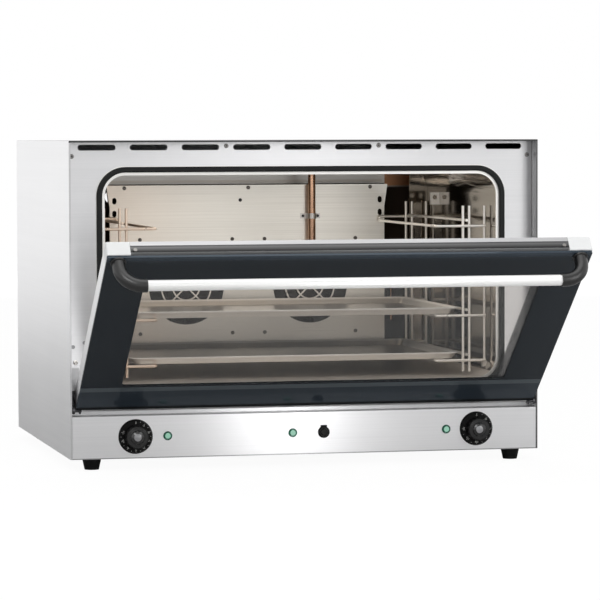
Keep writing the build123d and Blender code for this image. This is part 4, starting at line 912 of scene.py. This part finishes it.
NODE_FINISHES = {
    WRAP: "casing_wrap",
    CASE: "base_pan back_panel",
    CONTROL: "control_panel",
    PANEL: "front_panel",
    LINER: "cavity_liner air_strips fan_wheel_left fan_wheel_right",
    BAFFLE: "fan_baffle",
    PIPE: "exhaust_pipe",
    WIRE: "rack_brackets fan_guards",
    RACK_WIRE: "side_rack_left side_rack_right",
    SCREW: "front_screws door_screws baffle_posts fan_shaft_left fan_shaft_right",
    CAVITY_SCREW: "cavity_screws",
    CLIP: "pipe_clip",
    TRAY: "tray_lower tray_upper",
    RUBBER: "feet",
    GASKET: "door_gasket",
    OUTER_PANE: "door_outer_glass",
    INNER_PANE: "door_inner_glass",
    LAMP_GLASS: "oven_lamp_glass",
    PROFILE: "door_side_left door_side_right door_bottom_rail",
    RAIL: "door_top_rail",
    PALE_BLOCK: "door_corner_blocks",
    HANDLE: "handle_tube",
    ELBOW: "handle_elbows",
    BLACK: "steam_button steam_switch cable_gland",
    KNOB: "timer_knob thermostat_knob",
    CAP: "timer_knob_cap thermostat_knob_cap",
    GREEN: "indicator_lenses",
    RIM: "indicator_bezels",
    COPPER: "steam_pipe thermostat_probe",
    BRASS: "water_valve",
    ZINC: "hinge_brakes",
    HINGE_STEEL: "hinge_brackets hinge_straps",
    DARK: "fan_motor_left fan_motor_right timer thermostat",
    SHEATH: "ring_heater_left ring_heater_right",
    CERAMIC: "oven_lamp terminal_block",
    WOOL: "insulation",
}


def smooth(mesh):
    """Shades round faces smoothly, and keeps edges that are sharper than an angle."""
    mesh.shade_smooth()
    mesh.set_sharp_from_angle(angle=SMOOTH_TO)


def dress_nodes():
    """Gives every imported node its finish."""
    for material, names in NODE_FINISHES.items():
        for name in names.split():
            mesh = NODES[name].data
            mesh.materials.clear()
            mesh.materials.append(material)
            smooth(mesh)


# Mesh tools

def piece_from(name, build, material, body):
    """A new piece from a mesh-building function, riding on one body."""
    mesh = bpy.data.meshes.new(name)
    work = bmesh.new()
    build(work)
    bmesh.ops.recalc_face_normals(work, faces=work.faces)
    work.to_mesh(mesh)
    work.free()
    mesh.materials.append(material)
    smooth(mesh)
    piece = bpy.data.objects.new(name, mesh)
    bpy.context.scene.collection.objects.link(piece)
    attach(piece, body)
    return piece


def turned(work, profile, at, sides=24):
    """A form turned about the Z of a matrix, from (radius, height) points that end near it."""
    angles = [2 * math.pi * i / sides for i in range(sides)]
    rings = []
    for radius, height in profile:
        points = [(radius * math.cos(a), radius * math.sin(a), height) for a in angles]
        rings.append([work.verts.new(at @ Vector(point)) for point in points])
    for low, high in zip(rings, rings[1:]):
        for i in range(sides):
            j = (i + 1) % sides
            work.faces.new((low[i], low[j], high[j], high[i]))
    work.faces.new(rings[0])
    work.faces.new(rings[-1])


def bar(work, at, long, wide, thick, taper=0.8):
    """A bar along the X of a matrix, standing up along its Z and narrowed towards its top."""
    corners = [(-1, -1), (1, -1), (1, 1), (-1, 1)]
    top_long = long - wide * (1 - taper)
    low = [work.verts.new(at @ Vector((a * long / 2, b * wide / 2, 0))) for a, b in corners]
    high = [
        work.verts.new(at @ Vector((a * top_long / 2, b * wide * taper / 2, thick)))
        for a, b in corners]
    work.faces.new(low)
    work.faces.new(high)
    for i in range(4):
        j = (i + 1) % 4
        work.faces.new((low[i], low[j], high[j], high[i]))


def spun(degrees):
    """A turn about Z."""
    return Matrix.Rotation(math.radians(degrees), 4, "Z")


def facing_front(spot):
    """Matrix at a spot whose Z points out of the oven's front, with X to the right."""
    return Matrix.Translation(spot) @ Matrix.Rotation(math.radians(90), 4, "X")


def facing_back(spot):
    """Matrix at a spot whose Z points out of the oven's back."""
    return Matrix.Translation(spot) @ Matrix.Rotation(math.radians(-90), 4, "X")


def heads(work, profile, places):
    """The same turned form at each of some matrices, from a profile in millimetres."""
    for at in places:
        turned(work, [(radius * MM, height * MM) for radius, height in profile], at)


def cross(work, at, degrees, long, wide, thick):
    """Two crossed bars for the painted shade of a crossed drive recess, its first arm turned by
    some degrees.
    """
    for quarter in (0, 90):
        bar(work, at @ spun(degrees + quarter), long, wide, thick)


def on_face(face, places):
    """Matrices on an upright face that looks to the front, at places across and up."""
    return [facing_front(Vector((x, face, z))) for x, z in places]


# Dials

def dial_marks(node, body, joint, labels, step):
    """Painted numbers round a knob's skirt, each square to the dial's radius, and ticks."""
    axis = Vector(joint_named(joint)["pos_m"])
    centre = Vector((axis.x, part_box(node)[0].y + SKIRT_PLANE, axis.z))

    def ring_spot(turn, radius, ahead):
        return centre + Vector((radius * math.sin(turn), ahead, radius * math.cos(turn)))

    for i, label in enumerate(labels):
        turn = math.radians(step * i)
        text = bpy.data.curves.new(f"{node}_number_{i + 1}", "FONT")
        text.body = label
        text.size = DIAL_TEXT
        text.extrude = PAINT_THICK / 2
        text.align_x = "CENTER"
        text.align_y = "CENTER"
        text.materials.append(PAINT)
        piece = bpy.data.objects.new(f"{node}_number_{i + 1}", text)
        bpy.context.scene.collection.objects.link(piece)
        spot = ring_spot(turn, DIAL_RING, PAINT_SUNK - PAINT_THICK / 2)
        tilt = Matrix.Rotation(turn, 4, "Y") @ Matrix.Rotation(math.radians(90), 4, "X")
        piece.matrix_world = Matrix.Translation(spot) @ tilt
        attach(piece, body)

    def ticks(work):
        for i in range((len(labels) - 1) * TICKS_EACH + 1):
            degrees = step * i / TICKS_EACH
            at = facing_front(ring_spot(math.radians(degrees), TICK_RING, PAINT_SUNK))
            bar(work, at @ spun(90 - degrees), TICK_LONG, TICK_WIDE, PAINT_THICK)

    piece_from(f"{node}_ticks", ticks, PAINT, body)


# Small parts

def front_recess_shades(work):
    """Dark crosses painted as the shade in the four panel screws' drive recesses."""
    for at in on_face(PANEL_FACE - SCREW_FACE, SCREW_PLACES):
        cross(work, at, FRONT_SCREW_TURN, *FRONT_RECESS)


def baffle_hole_shades(work):
    """A dark disc painted as the shade in the baffle's spare hole."""
    heads(work, HOLE_SHADE_PROFILE, on_face(BAFFLE_FACE, HOLE_SHADE_PLACES))


def clip_screws(work):
    """Two dark screws that hold the steam pipe's clip."""
    low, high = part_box("pipe_clip")
    level = (low.z + high.z) / 2
    places = ((low.x + CLIP_SCREW_IN, level), (high.x - CLIP_SCREW_IN, level))
    heads(work, CLIP_SCREW_PROFILE, on_face(high.y - CLIP_FACE_IN, places))


def panel_rivets(work):
    """Sunk rivets beside the hinges."""
    heads(work, RIVET_PROFILE, on_face(PANEL_FACE, RIVET_PLACES))


def hinge_screws(work):
    """Slotted pan heads that hold the hinge plates, low enough for the shut door."""
    heads(work, HINGE_SCREW_PROFILE, on_face(PANEL_FACE, HINGE_SCREW_PLACES))


def hinge_slot_shades(work):
    """Dark bars painted as the shade in the slots of those heads."""
    for at in on_face(PANEL_FACE - HINGE_SCREW_FACE, HINGE_SCREW_PLACES):
        bar(work, at @ spun(HINGE_SCREW_TURN), *HINGE_SCREW_SLOT)


def back_screw_places():
    """Places of the screws round the back panel and round the two motors' air slots."""
    low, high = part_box("back_panel")
    side = high.x - BACK_SCREW_IN
    rows = (low.z + BACK_SCREW_IN, high.z - BACK_SCREW_IN)
    places = [(share * side, z) for share in (-1.0, -0.5, 0.0, 0.5, 1.0) for z in rows]
    places += [(-side, (low.z + high.z) / 2), (side, (low.z + high.z) / 2)]
    for motor in ("fan_motor_left", "fan_motor_right"):
        centre = middle(motor)
        places += [
            (centre.x + a * MOTOR_SCREW_X, centre.z + b * MOTOR_SCREW_Z)
            for a in (-1, 1) for b in (-1, 1)]
    return [Vector((x, BACK_FACE, z)) for x, z in places]


def back_screws(work):
    """Pan head screws of the back panel."""
    heads(work, BACK_SCREW_PROFILE, [facing_back(spot) for spot in back_screw_places()])


def back_recess_shades(work):
    """Dark crosses painted as the shade in the back panel's screws' drive recesses, each turned as
    it came to rest.
    """
    for i, spot in enumerate(back_screw_places()):
        at = facing_back(spot + Vector((0, BACK_SCREW_FACE, 0)))
        cross(work, at, BACK_SCREW_TURN * i, *BACK_RECESS)


# Stage

def look(eye, yaw, down, roll):
    """World matrix of a camera that stands at eye, turned right by yaw and tipped down."""
    level = math.cos(down)
    ahead = Vector((math.sin(yaw) * level, math.cos(yaw) * level, -math.sin(down)))
    right = Vector((math.cos(yaw), -math.sin(yaw), 0))
    up = right.cross(ahead)
    right_rolled = right * math.cos(roll) + up * math.sin(roll)
    up_rolled = up * math.cos(roll) - right * math.sin(roll)
    turn = Matrix((right_rolled, up_rolled, -ahead)).transposed().to_4x4()
    return Matrix.Translation(eye) @ turn


def camera():
    """The photograph's camera."""
    view = bpy.data.cameras.new("view")
    view.sensor_width = SENSOR
    view.lens = SENSOR * FOCAL_PIXELS / FRAME_PIXELS
    view.clip_end = FAR_CLIP
    holder = bpy.data.objects.new("view", view)
    holder.matrix_world = look(CAMERA_PLACE, CAMERA_YAW, CAMERA_DOWN, CAMERA_ROLL)
    bpy.context.scene.collection.objects.link(holder)
    bpy.context.scene.camera = holder


def softbox(name, place, aim, wide, high, watts, colour=(1, 1, 1)):
    """A rectangular studio light at one place, aimed at another."""
    light = bpy.data.lights.new(name, "AREA")
    light.shape = "RECTANGLE"
    light.size = wide
    light.size_y = high
    light.energy = watts
    light.color = colour
    holder = bpy.data.objects.new(name, light)
    aimed = (Vector(aim) - Vector(place)).to_track_quat("-Z", "Y").to_matrix().to_4x4()
    holder.matrix_world = Matrix.Translation(Vector(place)) @ aimed
    holder.visible_camera = False
    bpy.context.scene.collection.objects.link(holder)


def lights():
    """Four studio lights, a low one for the control panel, and the light inside the oven."""
    softbox("key", (-1.6, -3.2, 2.6), aim=(0, -0.1, 0.3), wide=1.6, high=1.6, watts=30.0)
    softbox("fill", (1.9, -2.3, 1.1), aim=(0.1, 0, 0.3), wide=1.2, high=1.6, watts=14.0)
    softbox("top", (0.0, -0.6, 3.0), aim=(0, 0, 0.3), wide=2.0, high=2.0, watts=12.0)
    softbox("strip", (1.0, -4.5, 1.0), aim=(0, 0, 0.3), wide=0.5, high=2.0, watts=5.0)
    softbox("low_strip", (0.15, -1.0, 0.11), aim=(0.0, 0, 0.1), wide=0.2, high=0.2, watts=0.42)
    lamp_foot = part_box("oven_lamp_glass")[0].z - 4.0 * MM
    lamp_y = middle("oven_lamp_glass").y
    softbox("oven_light", (0, lamp_y, lamp_foot), aim=(0, lamp_y, 0.1), wide=0.5, high=0.12,
            watts=0.62, colour=(1.0, 0.92, 0.82))


def world_light():
    """White to the camera, and as light on the oven a room that is dimmer in front of it."""
    world = bpy.data.worlds.new("studio")
    bpy.context.scene.world = world
    world.use_nodes = True
    sky = Nodes(world.node_tree)
    matt_ray = sky.add("ShaderNodeLightPath", {}, {}, "Is Diffuse Ray")
    mirror_ray = sky.add("ShaderNodeLightPath", {}, {}, "Is Glossy Ray")
    right, back, _ = sky.parts(sky.add("ShaderNodeTexCoord", {}, {}, "Generated"))
    front = back.ramp(*ROOM_FRONT, 1.0, 0.0)
    dim = front * (ROOM_FRONT_DIM + right.ramp(*ROOM_RIGHT) * ROOM_RIGHT_DIM)
    strength = 1.0 - matt_ray * ROOM_SOFT_DIM - mirror_ray * dim
    shade = sky.add("ShaderNodeBackground", {}, {"Color": (1, 1, 1), "Strength": strength})
    sky.node("ShaderNodeOutputWorld", {}, {0: shade})


def floor():
    """Pale floor that keeps the oven's shadow and shows white to the camera."""
    mesh = bpy.data.meshes.new("floor")
    low, high = -FLOOR_REACH, FLOOR_REACH
    corners = [(low, low, 0), (high, low, 0), (high, high, 0), (low, high, 0)]
    mesh.from_pydata(corners, [], [(0, 1, 2, 3)])
    f = Finish("floor_paint")
    seen = f.add("ShaderNodeLightPath", {}, {}, "Is Camera Ray")
    far = f.reach(f.x, f.y).ramp(FLOOR_NEAR, FLOOR_FAR)
    matt = f.matt(f.mix(f.noise(f.place, FLOOR_WAVES), *FLOOR_TONES))
    glow = {"Color": (1, 1, 1), "Strength": 1.0 + seen * FLOOR_LIFT}
    white = f.add("ShaderNodeEmission", {}, glow)
    mesh.materials.append(f.done(f.layer(f.most(seen * FLOOR_WHITE, far), matt, white)))
    plate = bpy.data.objects.new("floor", mesh)
    bpy.context.scene.collection.objects.link(plate)


dress_nodes()
dial_marks("timer_knob", "timer_dial", "timer_turn",
           ["0", "15", "30", "45", "60", "75", "90", "105", "120"], step=36)
dial_marks("thermostat_knob", "thermostat_dial", "thermostat_turn",
           ["0", "50", "100", "150", "200", "250", "300"], step=45)
piece_from("front_recess_shades", front_recess_shades, DARK, "oven_body")
piece_from("baffle_hole_shades", baffle_hole_shades, DARK, "oven_body")
piece_from("clip_screws", clip_screws, DARK, "oven_body")
piece_from("back_screws", back_screws, ZINC, "oven_body")
piece_from("back_recess_shades", back_recess_shades, DARK, "oven_body")
piece_from("panel_rivets", panel_rivets, ZINC, "oven_body")
piece_from("hinge_screws", hinge_screws, WIRE, "oven_body")
piece_from("hinge_slot_shades", hinge_slot_shades, DARK, "oven_body")
camera()
floor()
world_light()
lights()

bpy.context.scene.view_settings.view_transform = "Standard"
